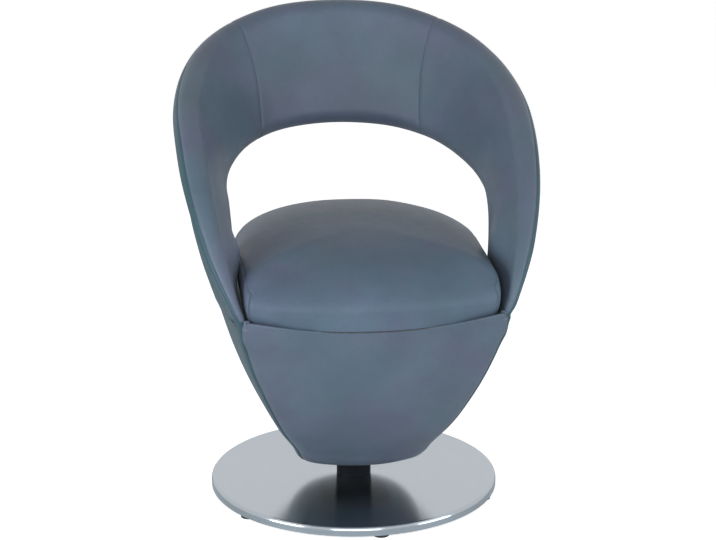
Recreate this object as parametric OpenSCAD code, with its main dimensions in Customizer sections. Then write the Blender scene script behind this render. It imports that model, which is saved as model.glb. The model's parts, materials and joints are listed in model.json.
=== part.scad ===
// Pedestal swivel armchair with a hoop back, in millimetres.
// Z is up, the chair faces -Y, and the origin is on the floor under the swivel axis.

/* [Overall] */
// Height from the floor to the top of the back
overall_h = 810; // [795:1:845]
// Width across the arms
overall_w = 600; // [584:2:630]
// Depth from the front of the seat to the rear of the back
overall_d = 612; // [600:2:640]
// Height of the plywood seat ring that carries the cushion
seat_z = 376; // [366:1:386]
// Height of the underside of the upholstered body
body_z = 64; // [58:1:70]

/* [Upholstery] */
// Thickness of the foam in the back and the upper arms
pad_t = 43; // [38:1:48]
// Thickness of the foam round the lower body at its top
bucket_pad_t = 30; // [26:1:33]
// Thickness of the foam round the lower body at its foot
bucket_pad_low_t = 12; // [10:1:14]
// Thickness of the leather with its backing
cover_t = 3; // [2:0.25:4]
// Crown of the padded inner faces
inner_crown = 3; // [1:0.5:5]
// Crown of the padded outer faces
outer_crown = 5; // [2:0.5:8]
// Radius at the front corners of the lower body
bucket_corner_r = 16; // [12:1:20]

/* [Cushion] */
// Height of the seat cushion at its top seam
cushion_h = 86; // [72:1:88]
// Rise of the cushion's middle above its top seam
cushion_crown = 28; // [14:1:30]
// Drop of the cushion's front edge
cushion_drop = 12; // [6:1:18]
// Width of the cushion between the front corners
cushion_front_w = 396; // [384:1:398]
// Width of the cushion at its widest
cushion_w = 416; // [404:1:418]
// Gap between the cushion's foot and the front of each arm's root
cushion_gap = 6.2; // [5:0.1:8]
// Gap between the cushion's foot and the rear of each arm's root
cushion_side_gap = 16.8; // [14:0.1:18]
// Radius of the rolled edges of the cushion
cushion_roll_r = 24; // [18:1:28]
// Thickness of the cushion's leather
cushion_cover_t = 2; // [1.5:0.25:2.5]

/* [Base] */
// Diameter of the base disc
disc_d = 500; // [480:2:520]
// Height of the top of the base disc
disc_z = 20; // [19:0.5:22]
// Height of the rim's lower edge above the floor
rim_z = 5; // [4:0.5:6]
// Radius of the rolled rim
rim_roll_r = 6; // [5:0.5:7]
// Thickness of the disc's sheet steel
disc_sheet_t = 1.5; // [1:0.25:2]
// Thickness of the ballast plate
ballast_t = 10; // [9:0.5:10.5]
// Number of glides under the base
glide_count = 6; // [6:1:6]
// Diameter of one glide
glide_d = 26; // [22:1:28]

/* [Swivel] */
// Diameter of the fixed post
post_d = 50; // [48:1:54]
// Wall of the fixed post
post_wall = 5; // [4:0.5:6]
// Height of the top of the fixed post
post_z = 200; // [190:1:206]
// Diameter of the spindle that turns in the post
spindle_d = 25; // [22:1:26]
// Running clearance between the spindle and each bush
run_gap = 0.05; // [0.02:0.01:0.1]
// Diameter of one bearing ball
ball_d = 4; // [3.5:0.25:5]
// Number of bearing balls
ball_count = 16; // [12:1:20]
// Side of the square swivel plate
plate_w = 160; // [140:2:180]
// Thickness of the swivel plate
plate_t = 6; // [5:0.5:8]
// Distance between the swivel plate's bolts
bolt_pitch = 120; // [100:2:130]
// Diameter of the machine bolts
bolt_d = 8; // [6:0.5:10]

/* [Frame] */
// Thickness of the plywood boards
ply_t = 18; // [15:1:20]
// Thickness of the shaped board at the foot of the body
base_board_t = 12; // [10:0.5:13]
// Width of the seat ring
ring_w = 66; // [62:1:70]
// Wall of the moulded inner shell
shell_t = 6; // [5:0.5:7]
// Gap between each rib and the moulded shell beside it
rib_gap = 8; // [6:1:12]
// Height of the cross rails
rail_h = 50; // [40:1:60]
// Diameter of the steel tube in the hoop
hoop_tube_d = 14; // [12:0.5:16]
// Wall of the hoop tube
hoop_tube_wall = 2; // [1.5:0.25:2.5]
// Length of one hoop foot
foot_l = 90; // [80:1:100]
// Thickness of one hoop foot
foot_t = 5; // [4:0.5:6]
// Width of one seat strap
strap_w = 50; // [40:1:55]
// Thickness of one seat strap
strap_t = 1.8; // [1.4:0.1:2.2]
// Number of seat straps
strap_count = 5; // [4:1:6]

/* [Hidden] */

// Clearance between neighbouring soft or curved pieces
fit_gap = 0.3;
// Clearance of a pressed or screwed round fit
press_gap = 0.02;
// Facets of a round solid
$fn = 96;

// The steel base
disc_r = disc_d / 2;
post_r = post_d / 2;
post_bore_r = post_r - post_wall;
ballast_top = disc_z - disc_sheet_t;
ballast_low = ballast_top - ballast_t;
ballast_r = disc_r - disc_sheet_t - rim_roll_r + fit_gap;
flange_t = 5;
flange_r = 70;
flange_screw_r = 52;
flange_screw_count = 4;
flange_low = ballast_low - flange_t;
sleeve_t = 4.5;
sleeve_top_share = 0.5;
sleeve_r = post_r + fit_gap + sleeve_t;
sleeve_z = disc_z + (post_z - disc_z) * sleeve_top_share;
glide_edge_gap = 1.5;
glide_ring_r = disc_r - glide_d / 2 - glide_edge_gap;
glide_phase = 33.6;
glide_boss_share = 0.65;
glide_recess_share = 0.4;
glide_head_h = 1;
glide_screw_bite = 8;
wood_screw_d = 5;
wood_head_d = 10;
wood_head_h = 2.5;
// Share of its hole's depth that a screw fills
screw_share = 0.9;
// Shares of the flange that a countersunk head and its seat take
sink_head_share = 0.65;
sink_seat_share = 0.7;

// The swivel bearing
spindle_r = spindle_d / 2;
bolt_r = bolt_d / 2;
head_r_share = 0.8;
head_h_share = 0.65;
head_r = bolt_d * head_r_share;
head_h = bolt_d * head_h_share;
bush_bore_r = spindle_r + run_gap;
bush_flange_t = 3;
bush_l = 40;
end_play = 0.5;
retain_t = post_wall / 2;
retain_share = 0.82;
lower_bush_share = 0.06;
spindle_low = lerp(flange_low, post_z, lower_bush_share) + head_h;
lower_bush_low = spindle_low + end_play;
race_t = 2;
race_play = 0.7;
race_bore_r = spindle_r + race_play;
ball_play = 0.1;
race_low = post_z + bush_flange_t;
ball_z = race_low + race_t + ball_play + ball_d / 2;
upper_race_low = ball_z + ball_d / 2 + ball_play;
cage_share = 0.5;
cage_t = ball_d * cage_share;
cage_edge = 1;
ball_ring_r = (race_bore_r + post_r) / 2;
plate_low = upper_race_low + race_t;
plate_top = plate_low + plate_t;
mount_top = plate_top + ply_t;
nut_flange_t = 1.5;
nut_flange_share = 1.35;
nut_flange_r = bolt_d * nut_flange_share;
nut_barrel_t = 1.2;
nut_barrel_share = 0.6;

// The seat cushion
strap_top = seat_z + strap_t;
cushion_low = strap_top + fit_gap;
cushion_mid_share = 0.16;
cushion_rear_share = 0.72;
cushion_crown_share = 0.095;
cushion_corner_r = 20;
// Height share, then shares of the roll radius that the sides and the front are drawn in
cushion_row_shares = [
  [0.00, 0.40, 0.25],
  [0.12, 0.12, 0.08],
  [0.45, 0.00, 0.00],
  [0.78, 0.12, 0.22],
  [0.94, 0.40, 0.85]
];
// Shares of the outline's reach from the middle, across the crowned top
cushion_top_shares = [0.80, 0.52, 0.26];
cushion_seam_row = 3;
cushion_n = len(cushion_row_shares) + len(cushion_top_shares);
cushion_foot_in = cushion_roll_r * cushion_row_shares[0][1];

// The upholstered hoop: reach of the padding round its centre lines
rim_half = pad_t / 2 + fit_gap + cover_t;
rim_x = overall_w / 2 - rim_half;
back_depth_share = 0.18;
back_height_share = 0.397;
back_lean = atan2(
  back_depth_share * (overall_d / 2 - rim_half), back_height_share * (overall_h - rim_half - seat_z)
);
rim_y = overall_d / 2 - rim_half * cos(back_lean);
crest_z = overall_h - rim_half * cos(back_lean);

// The arm's root stands on the seat ring beside the cushion, and the body follows it
root_pad_share = 0.46;
root_half = pad_t / 2 * root_pad_share + fit_gap + cover_t;
root_x = cushion_front_w / 2 - cushion_foot_in + cushion_gap + root_half;
root_edge_x = cushion_w / 2 - cushion_foot_in + cushion_side_gap + root_half;
bucket_w = 2 * (root_x + root_half - cover_t);

// One row a station, from the middle of the back down the right arm to the seat ring.
// The rim's centre: share across, then from the root's place to the widest, along and up.
// The centre of the edge round the back opening: shares across, along and up.
// The last are the shares of the padding's thickness and of the outer crown.
hoop_shares = [
  [0.000, 1.000, 1.000, 1.000, 0.000, 1 - back_depth_share, 1 - back_height_share, 1.00, 1.0],
  [0.362, 1.000, 0.960, 0.985, 0.361, 0.780, 0.586, 1.00, 1.0],
  [0.632, 1.000, 0.845, 0.935, 0.614, 0.675, 0.568, 1.00, 1.0],
  [0.837, 1.000, 0.635, 0.870, 0.795, 0.495, 0.542, 1.00, 1.0],
  [0.950, 1.000, 0.350, 0.790, 0.916, 0.300, 0.495, 1.00, 1.0],
  [1.000, 1.000, 0.080, 0.705, 0.976, 0.140, 0.465, 1.00, 1.0],
  [1.000, 1.000, -0.155, 0.625, 1.018, 0.005, 0.440, 1.00, 1.1],
  [1.000, 0.960, -0.335, 0.540, 1.036, -0.120, 0.410, 0.97, 1.4],
  [1.000, 0.880, -0.490, 0.455, 1.036, -0.235, 0.375, 0.90, 2.0],
  [1.000, 0.755, -0.630, 0.360, 1.024, -0.325, 0.320, 0.80, 2.6],
  [1.000, 0.570, -0.770, 0.245, 1.000, -0.370, 0.225, 0.62, 2.8],
  [1.000, 0.305, -0.895, 0.125, 1.000, -0.300, 0.115, 0.51, 2.2],
  [1.000, 0.000, -0.940, 0.000, 1.000, -0.160, 0.000, root_pad_share, 1.2]
];
last_station = len(hoop_shares) - 1;
back_seam = 2;
outer_seam = 3;
foam_seam = 3;
foam_end = last_station
  - (foot_t + fit_gap) / ((crest_z - seat_z) * hoop_shares[last_station - 1][6]);
hoop_step = 0.5;

// The lower body, one row a level from its foot to the seat ring.
// Shares of the height, of half the front panel's width for the corner, of the arm's root's
// splay for the side's extra width, then of half the depth for the corner, the front's crown,
// the side's widest place and the rear.
bucket_shares = [
  [0.00, 0.320, 0.106, 0.190, 0.070, 0.020, 0.295],
  [0.02, 0.385, 0.159, 0.225, 0.085, 0.022, 0.325],
  [0.06, 0.435, 0.212, 0.315, 0.105, 0.025, 0.360],
  [0.17, 0.510, 0.370, 0.438, 0.110, 0.035, 0.420],
  [0.30, 0.615, 0.688, 0.555, 0.110, 0.045, 0.485],
  [0.45, 0.710, 1.005, 0.663, 0.108, 0.060, 0.550],
  [0.60, 0.807, 1.058, 0.745, 0.105, 0.072, 0.605],
  [0.75, 0.893, 1.058, 0.807, 0.100, 0.085, 0.655],
  [0.88, 0.948, 1.111, 0.861, 0.098, 0.095, 0.690],
  [1.00, 0.990, 1.217, 0.905, 0.095, 0.105, 0.720]
];
plan_power = 0.8;
// Smallest share of the corner radius that is left on the inner faces
tight_share = 0.33;
front_n = 3;
corner_n = 4;
side_n = 3;
rear_n = 8;
seam_i = front_n + corner_n / 2;
ring_n = 2 * (front_n + corner_n + side_n + rear_n);
ring_low = seat_z - ply_t;
board_top = body_z + base_board_t;
column_gap = 8;
body_hole_r = sleeve_r + column_gap;
dust_t = 1.5;
wall_gap = 2;
facing_gap = 7;

foot_w = 2 * (root_half - cover_t - 2 * fit_gap);
foot_screw_pitch_share = 0.7;
foot_screw_bite_share = 0.8;
strap_lap = 18;
rib_screw_share = 0.5;

// Shares and stations closer than this count as the same
same_share = 0.01;

function lerp(a, b, t) = a + (b - a) * t;
function unit(v) = v / norm(v);
function flip(v, side) = [v[0] * side, v[1], v[2]];
function ramp(t) = t <= 0 ? 0 : t >= 1 ? 1 : t * t * (3 - 2 * t);

// Stations of the hoop in real sizes, continued past both ends of the table
function hoop_row(i) =
  i < 0 ? let (r = hoop_row(-i)) [-r[0], r[1], r[2], -r[3], r[4], r[5], r[6], r[7]] :
  i > last_station ? 2 * hoop_row(last_station) - hoop_row(2 * last_station - i) :
  let (r = hoop_shares[i]) [
    r[0] * lerp(root_x, rim_x, r[1]), r[2] * rim_y, lerp(seat_z, crest_z, r[3]),
    r[4] * root_edge_x, r[5] * rim_y, lerp(seat_z, crest_z, r[6]),
    r[7] * pad_t / 2, r[8] * outer_crown
  ];
hoop_controls = [
  for (i = [-1 : last_station + 2])
    hoop_row(i) + (2 * hoop_row(i) - hoop_row(i - 1) - hoop_row(i + 1)) / 6
];
function spline_weights(u) = [
  pow(1 - u, 3), 3 * pow(u, 3) - 6 * u * u + 4, -3 * pow(u, 3) + 3 * u * u + 3 * u + 1, pow(u, 3)
] / 6;
function slope_weights(u) = [
  -(1 - u) * (1 - u), 3 * u * u - 4 * u, -3 * u * u + 2 * u + 1, u * u
] / 2;
function hoop_blend(s, slope) =
  let (
    i = min(floor(s), last_station),
    w = slope ? slope_weights(s - i) : spline_weights(s - i)
  )
  w[0] * hoop_controls[i] + w[1] * hoop_controls[i + 1]
    + w[2] * hoop_controls[i + 2] + w[3] * hoop_controls[i + 3];

// The frame of one section: the opening edge's centre, the way up to the rim, the way to the
// sitter, the distance between the two centres, the half thickness and the outer crown
function hoop_frame(s) =
  let (
    side = s < 0 ? -1 : 1,
    v = hoop_blend(abs(s), false),
    d = hoop_blend(abs(s), true),
    rim = [v[0], v[1], v[2]],
    edge = [v[3], v[4], v[5]],
    along = unit([d[0] + d[3], d[1] + d[4], d[2] + d[5]]),
    root = ramp((abs(s) - last_station + 2) / 2),
    run = lerp(along, [0, 0, -1], root),
    up = unit(rim - edge),
    face = unit(cross(run, up))
  )
  [flip(edge, side), flip(up, side), flip(face, side), norm(rim - edge), v[6], v[7]];
function on_frame(f, a, b) = f[0] + a * f[1] + b * f[2];

// One section as a loop: from the opening's edge over the inner face to the rim, and back
function section_loop(f, grow) =
  let (r = f[4] + grow, w = f[3], inner = r + inner_crown, outer = r + f[5], c = r * sqrt(0.5))
  [
    for (p = [
      [-r, 0], [-c, c], [0, r], [w / 3, inner], [w * 2 / 3, inner], [w, r], [w + c, c],
      [w + r, 0], [w + c, -c], [w, -r], [w * 2 / 3, -outer], [w / 3, -outer], [0, -r], [-c, -c]
    ]) on_frame(f, p[0], p[1])
  ];
loop_n = 14;
half_loop = loop_n / 2;
function tube_loop(f, r, n) = [
  for (k = [0 : n - 1]) let (a = 180 - k * 360 / n) on_frame(f, f[3] / 2 + r * cos(a), r * sin(a))
];
function steps(a, b, step) =
  let (n = max(1, ceil(abs(b - a) / step - same_share))) [for (i = [0 : n]) lerp(a, b, i / n)];
function join(lists) = [for (l = lists) for (p = l) p];

// Faces of a sheet of cells between an outer and an inner grid, walled along its edges. Cells
// of a turned row are split along their other diagonal, so both sides of the chair are alike.
function sheet_faces(cols, rows, wrap, keep, turned) =
  let (
    cells = wrap ? cols : cols - 1,
    inner = cols * rows,
    has = function (i, j)
      j >= 0 && j < rows - 1 && (wrap || (i >= 0 && i < cells)) && keep((i + cols) % cols, j)
  )
  [
    for (j = [0 : rows - 2]) for (i = [0 : cells - 1]) if (has(i, j))
      let (
        a = j * cols + i, b = j * cols + (i + 1) % cols,
        c = b + cols, d = a + cols
      )
      each concat(
        turned(j)
          ? [[a, d, b], [d, c, b], [a, b, d] + inner * [1, 1, 1], [b, c, d] + inner * [1, 1, 1]]
          : [[a, d, c], [a, c, b], [a, c, d] + inner * [1, 1, 1], [a, b, c] + inner * [1, 1, 1]],
        has(i, j - 1) ? [] : [[a, b, b + inner], [a, b + inner, a + inner]],
        has(i, j + 1) ? [] : [[c, d, c + inner], [d, d + inner, c + inner]],
        has(i - 1, j) ? [] : [[d, a, a + inner], [d, a + inner, d + inner]],
        has(i + 1, j) ? [] : [[b, c, b + inner], [c, c + inner, b + inner]]
      )
  ];
everywhere = function (i, j) true;
nowhere = function (j) false;
module sheet(outer, inner, wrap = true, keep = everywhere, turned = nowhere) {
  polyhedron(
    concat(join(outer), join(inner)),
    sheet_faces(len(outer[0]), len(outer), wrap, keep, turned)
  );
}

// The hoop's foam between two stations, with the channel for its tube. It stops short of the
// seat ring, on the stations of the leather.
function foam_stations(a, b) = [
  for (s = steps(b, a, hoop_step)) abs(s) > foam_end ? sign(s) * foam_end : s
];
module hoop_foam(a, b) {
  stations = foam_stations(a, b);
  frames = [for (s = stations) hoop_frame(s)];
  sheet(
    [for (f = frames) section_loop(f, 0)],
    [for (f = frames) tube_loop(f, hoop_tube_d / 2 + fit_gap, loop_n)],
    turned = function (j) stations[j] > 0
  );
}
// The hoop's leather between two stations, over the inner or the outer half of the section
module hoop_cover(a, b, outside) {
  stations = steps(b, a, hoop_step);
  frames = [for (s = stations) hoop_frame(s)];
  first = outside ? half_loop : 0;
  sheet(
    [for (f = frames) section_loop(f, fit_gap + cover_t)],
    [for (f = frames) section_loop(f, fit_gap)],
    keep = function (i, j) i >= first && i < first + half_loop,
    turned = function (j) stations[j] > 0
  );
}

// A level of the lower body, drawn in by a distance
function bucket_value(k, column) =
  lookup(k, [for (r = bucket_shares) [r[0], r[column]]]);
function bucket_size(k, inset) =
  let (half_w = bucket_w / 2, half_d = overall_d / 2)
  [
    bucket_value(k, 1) * half_w - inset,
    bucket_value(k, 1) * half_w + bucket_value(k, 2) * (root_edge_x - root_x) - inset,
    bucket_value(k, 3) * half_d - inset,
    bucket_value(k, 4) * half_d,
    -bucket_value(k, 5) * half_d,
    bucket_value(k, 6) * half_d - inset
  ];
function level_share(z) = (z - body_z) / (seat_z - body_z);
function front_arc(x, w, front, crown) = -front - crown * (1 - pow(x / w, 2));
function side_at(y, w, wide, front, mid) = wide - (wide - w) * pow((mid - y) / (mid + front), 2);
function bezier(a, b, c, t) = (1 - t) * (1 - t) * a + 2 * t * (1 - t) * b + t * t * c;
function half_plan(w, wide, front, crown, mid, rear, r) =
  let (
    x1 = w - r,
    y1 = -front + r,
    p1 = [x1, front_arc(x1, w, front, crown)],
    p2 = [side_at(y1, w, wide, front, mid), y1]
  )
  concat(
    [for (i = [0 : front_n]) let (x = x1 * i / front_n) [x, front_arc(x, w, front, crown)]],
    [for (i = [1 : corner_n]) bezier(p1, [w, -front], p2, i / corner_n)],
    [for (i = [1 : side_n]) let (y = lerp(y1, mid, i / side_n)) [side_at(y, w, wide, front, mid), y]],
    [
      for (i = [1 : rear_n]) let (a = 90 * i / rear_n)
        [wide * pow(cos(a), plan_power), mid + (rear - mid) * pow(sin(a), plan_power)]
    ]
  );
function whole_plan(half) = concat(
  half, [for (i = [len(half) - 2 : -1 : 1]) [-half[i][0], half[i][1]]]
);
function bucket_plan(k, inset) =
  let (s = bucket_size(k, inset), r = max(bucket_corner_r - inset, bucket_corner_r * tight_share))
  whole_plan(half_plan(s[0], s[1], s[2], s[3], s[4], s[5], r));
function lift(points, z) = [for (p = points) [p[0], p[1], z]];
function bucket_z(k) = lerp(body_z, seat_z, k);
function bucket_loop(k, inset) = lift(bucket_plan(k, inset), bucket_z(k));
function levels(low, high) = concat(
  [low],
  [for (r = bucket_shares) if (r[0] > low + same_share && r[0] < high - same_share) r[0]],
  [high]
);
skin_in = cover_t + fit_gap;
function pad_at(k) = lerp(bucket_pad_low_t, bucket_pad_t, k);
function shell_in(k) = skin_in + pad_at(k) + fit_gap;
function cavity_in(k) = shell_in(k) + shell_t;
function cavity_front(z, x) =
  let (k = level_share(z), s = bucket_size(k, cavity_in(k))) front_arc(x, s[0], s[2], s[3]);
function cavity_rear(z, x) =
  let (
    k = level_share(z),
    s = bucket_size(k, cavity_in(k)),
    c = pow(x / s[1], 1 / plan_power)
  )
  s[4] + (s[5] - s[4]) * pow(sqrt(1 - c * c), plan_power);
function ring_side(y) =
  let (s = bucket_size(level_share(ring_low), skin_in))
  y < s[4] ? side_at(y, s[0], s[1], s[2], s[4]) :
  s[1] * pow(1 - pow((y - s[4]) / (s[5] - s[4]), 2 / plan_power), plan_power / 2);

// One loop of the cushion at a row, and the loops of its crowned top
function cushion_plan(side_in, front_in) =
  let (half_d = overall_d / 2)
  whole_plan(half_plan(
    cushion_front_w / 2 - side_in,
    cushion_w / 2 - side_in,
    half_d * (1 - cushion_crown_share) - front_in,
    half_d * cushion_crown_share,
    -half_d * cushion_mid_share,
    half_d * cushion_rear_share - side_in,
    cushion_corner_r
  ));
function cushion_front_share(y) =
  max(0, (-overall_d / 2 * cushion_mid_share - y) / (overall_d / 2 * (1 - cushion_mid_share)));
function cushion_edge_z(y) = cushion_low + cushion_h - cushion_drop * pow(cushion_front_share(y), 2);
cushion_mid_y = -overall_d / 2 * cushion_mid_share;
function cushion_loop(j) =
  j < len(cushion_row_shares) ?
    let (r = cushion_row_shares[j])
    [
      for (p = cushion_plan(r[1] * cushion_roll_r, r[2] * cushion_roll_r))
        [p[0], p[1], lerp(cushion_low, cushion_edge_z(p[1]), r[0])]
    ] :
    let (
      r = cushion_row_shares[len(cushion_row_shares) - 1],
      t = cushion_top_shares[j - len(cushion_row_shares)]
    )
    [
      for (p = cushion_plan(r[1] * cushion_roll_r, r[2] * cushion_roll_r))
        let (y = lerp(cushion_mid_y, p[1], t))
        [p[0] * t, y, cushion_edge_z(y) + cushion_crown * (1 - t * t)]
    ];
cushion_grid = [for (j = [0 : cushion_n - 1]) cushion_loop(j)];
cushion_top = [0, cushion_mid_y, cushion_edge_z(cushion_mid_y) + cushion_crown];
function grid_normal(g, i, j) =
  let (
    n = len(g[0]),
    a = g[j][(i + 1) % n] - g[j][(i + n - 1) % n],
    b = (j + 1 < len(g) ? g[j + 1][i] : cushion_top) - (j > 0 ? g[j - 1][i] : g[j][i])
  )
  unit(cross(a, b));
function sunk_grid(g, d) = [
  for (j = [0 : len(g) - 1]) [for (i = [0 : len(g[0]) - 1]) g[j][i] - d * grid_normal(g, i, j)]
];
cushion_inner_grid = sunk_grid(cushion_grid, cushion_cover_t);

// The base: a spun steel disc over a ballast plate on glides, with a fixed post
module ring_solid(outer_r, inner_r, low, high) {
  translate([0, 0, low]) difference() {
    cylinder(r = outer_r, h = high - low);
    translate([0, 0, low - high]) cylinder(r = inner_r, h = 3 * (high - low));
  }
}
module disc_cover() color([0.72, 0.74, 0.76]) {
  fillet_n = 6;
  roll_x = disc_r - rim_roll_r;
  roll_z = disc_z - rim_roll_r;
  inner_roll = rim_roll_r - disc_sheet_t;
  rotate_extrude($fn = 128) polygon(concat(
    [[post_r + fit_gap, ballast_top], [post_r + fit_gap, disc_z]],
    [
      for (i = [0 : fillet_n]) let (a = 90 - 90 * i / fillet_n)
        [roll_x + rim_roll_r * cos(a), roll_z + rim_roll_r * sin(a)]
    ],
    [[disc_r, rim_z], [disc_r - disc_sheet_t, rim_z]],
    [
      for (i = [0 : fillet_n]) let (a = 90 * i / fillet_n)
        [roll_x + inner_roll * cos(a), roll_z + inner_roll * sin(a)]
    ]
  ));
}
module at_glides() {
  for (i = [1 : glide_count]) at_glide(i) children();
}
module at_glide(i) {
  rotate(glide_phase + (i - 1) * 360 / glide_count) translate([glide_ring_r, 0, 0]) children();
}
module at_flange_screws() {
  for (i = [1 : flange_screw_count])
    rotate(i * 360 / flange_screw_count) translate([flange_screw_r, 0, 0]) children();
}
module ballast_plate() color([0.35, 0.35, 0.36]) difference() {
  ring_solid(ballast_r, post_r + press_gap, ballast_low, ballast_top);
  at_glides() translate([0, 0, ballast_low])
    cylinder(d = wood_screw_d + 2 * press_gap, h = glide_screw_bite);
  at_flange_screws()
    translate([0, 0, ballast_low]) cylinder(r = bolt_r + press_gap, h = ballast_t);
}
module post_flange() color([0.30, 0.30, 0.31]) difference() {
  ring_solid(flange_r, post_r + press_gap, flange_low, ballast_low);
  at_flange_screws() translate([0, 0, flange_low]) {
    cylinder(r = bolt_r + press_gap, h = flange_t);
    cylinder(r1 = head_r + press_gap, r2 = bolt_r + press_gap, h = flange_t * sink_seat_share, $fn = 48);
  }
}
module flange_screws() color([0.60, 0.60, 0.62]) at_flange_screws() translate([0, 0, flange_low])
  rotate_extrude($fn = 48) polygon([
    [0, 0], [head_r - fit_gap, 0], [bolt_r, flange_t * sink_head_share],
    [bolt_r, flange_t + ballast_t * screw_share], [0, flange_t + ballast_t * screw_share]
  ]);
module post_tube() color([0.22, 0.22, 0.23]) ring_solid(post_r, post_bore_r, flange_low, post_z);
module column_sleeve() color([0.08, 0.08, 0.09]) ring_solid(sleeve_r, post_r + fit_gap, disc_z, sleeve_z);
module glide(i) color([0.10, 0.10, 0.10]) at_glide(i) difference() {
  union() {
    cylinder(d = glide_d, h = rim_z);
    cylinder(d = glide_d * glide_boss_share, h = ballast_low);
  }
  translate([0, 0, -rim_z]) cylinder(d = wood_screw_d + 2 * press_gap, h = rim_z + 2 * ballast_low);
  translate([0, 0, -rim_z])
    cylinder(d = wood_head_d + fit_gap, h = rim_z + rim_z * glide_recess_share);
}
module glide_screws() color([0.60, 0.60, 0.62]) at_glides() {
  seat = rim_z * glide_recess_share;
  tip = ballast_low + glide_screw_bite * screw_share;
  translate([0, 0, seat - glide_head_h]) cylinder(d = wood_head_d, h = glide_head_h);
  translate([0, 0, seat]) cylinder(d = wood_screw_d, h = tip - seat);
}

// The bearing: two bushes in the post, and a ring of balls that carries the weight
module lower_bush() color([0.85, 0.84, 0.80])
  ring_solid(post_bore_r - press_gap, bush_bore_r, lower_bush_low, lower_bush_low + bush_l);
module upper_bush() color([0.85, 0.84, 0.80]) {
  difference() {
    union() {
      translate([0, 0, post_z - bush_l]) cylinder(r = post_bore_r - press_gap, h = bush_l);
      translate([0, 0, post_z]) cylinder(r = post_r, h = bush_flange_t);
    }
    translate([0, 0, post_z - 2 * bush_l]) cylinder(r = bush_bore_r, h = 3 * bush_l);
  }
}
module lower_race() color([0.66, 0.67, 0.70])
  ring_solid(post_r, race_bore_r, race_low, race_low + race_t);
module upper_race() color([0.66, 0.67, 0.70])
  ring_solid(post_r, race_bore_r, upper_race_low, upper_race_low + race_t);
module at_balls() {
  for (i = [1 : ball_count]) rotate(i * 360 / ball_count) translate([ball_ring_r, 0, ball_z]) children();
}
module ball_cage() color([0.72, 0.58, 0.30]) difference() {
  ring_solid(post_r - cage_edge, race_bore_r + cage_edge, ball_z - cage_t / 2, ball_z + cage_t / 2);
  at_balls() translate([0, 0, -cage_t]) cylinder(d = ball_d + 2 * ball_play, h = 2 * cage_t, $fn = 32);
}
module bearing_balls() color([0.80, 0.81, 0.83]) at_balls() sphere(d = ball_d, $fn = 32);
module spindle() color([0.55, 0.56, 0.58]) difference() {
  translate([0, 0, spindle_low]) cylinder(r = spindle_r, h = plate_top - spindle_low);
  translate([0, 0, spindle_low]) cylinder(r = bolt_r + press_gap, h = bush_l);
}
module retaining_washer() color([0.60, 0.61, 0.63])
  ring_solid(post_bore_r * retain_share, bolt_r + press_gap, spindle_low - retain_t, spindle_low);
module retaining_screw() color([0.60, 0.61, 0.63]) {
  translate([0, 0, spindle_low - retain_t - head_h]) cylinder(r = head_r, h = head_h);
  translate([0, 0, spindle_low - retain_t]) cylinder(r = bolt_r, h = bush_l * screw_share);
}
module at_plate_bolts() {
  for (x = [-1, 1]) for (y = [-1, 1]) translate([x * bolt_pitch / 2, y * bolt_pitch / 2, 0]) children();
}
module swivel_plate() color([0.22, 0.22, 0.23]) difference() {
  translate([-plate_w / 2, -plate_w / 2, plate_low]) cube([plate_w, plate_w, plate_t]);
  translate([0, 0, plate_low - plate_t]) cylinder(r = spindle_r + press_gap, h = 3 * plate_t);
  at_plate_bolts() translate([0, 0, plate_low - plate_t])
    cylinder(r = bolt_r + press_gap, h = 3 * plate_t);
}
module plate_bolts() color([0.60, 0.61, 0.63]) at_plate_bolts() {
  translate([0, 0, plate_low - head_h]) cylinder(r = head_r, h = head_h);
  translate([0, 0, plate_low]) cylinder(r = bolt_r, h = plate_t + ply_t);
}
module tee_nuts() color([0.70, 0.68, 0.55]) at_plate_bolts() {
  ring_solid(nut_flange_r, bolt_r + press_gap, mount_top, mount_top + nut_flange_t);
  ring_solid(
    bolt_r + nut_barrel_t, bolt_r + press_gap, mount_top - ply_t * nut_barrel_share, mount_top
  );
}

// The wooden frame on the swivel plate
module mount_board() color([0.78, 0.64, 0.45]) difference() {
  k = level_share(plate_top);
  translate([0, 0, plate_top]) linear_extrude(ply_t) polygon(bucket_plan(k, cavity_in(k) + fit_gap));
  at_plate_bolts() translate([0, 0, plate_top - ply_t])
    cylinder(r = bolt_r + nut_barrel_t + press_gap, h = 3 * ply_t);
  at_frame_screws() translate([0, 0, plate_top - ply_t])
    cylinder(d = wood_screw_d + 2 * press_gap, h = 3 * ply_t);
}
rib_foot = bucket_size(level_share(mount_top), cavity_in(level_share(mount_top)));
rib_edge_x = min(rib_foot[0], rib_foot[1]) - rib_gap;
rib_x = rib_edge_x - ply_t / 2;
rib_n = 4;
rib_zs = [for (i = [0 : rib_n]) lerp(mount_top, ring_low, i / rib_n)];
module rib(side) color([0.78, 0.64, 0.45])
  translate([side * rib_x - ply_t / 2, 0, 0]) rotate([90, 0, 90]) linear_extrude(ply_t)
    polygon(concat(
      [for (z = rib_zs) [cavity_front(z, rib_edge_x) + wall_gap, z]],
      [for (i = [rib_n : -1 : 0]) [cavity_rear(rib_zs[i], rib_edge_x) - wall_gap, rib_zs[i]]]
    ));
rail_low = ring_low - rail_h;
module rail(y) color([0.80, 0.66, 0.48])
  translate([ply_t / 2 - rib_x, y, rail_low]) cube([2 * rib_x - ply_t, ply_t, rail_h]);
module front_rail() rail(cavity_front(rail_low, rib_edge_x) + wall_gap);
module rear_rail() rail(cavity_rear(rail_low, rib_edge_x) - wall_gap - ply_t);
module at_frame_screws() {
  for (x = [-rib_x, rib_x])
    for (y = [cavity_front(mount_top, rib_edge_x), cavity_rear(mount_top, rib_edge_x)])
      translate([x, y * rib_screw_share, 0]) children();
}
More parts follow.
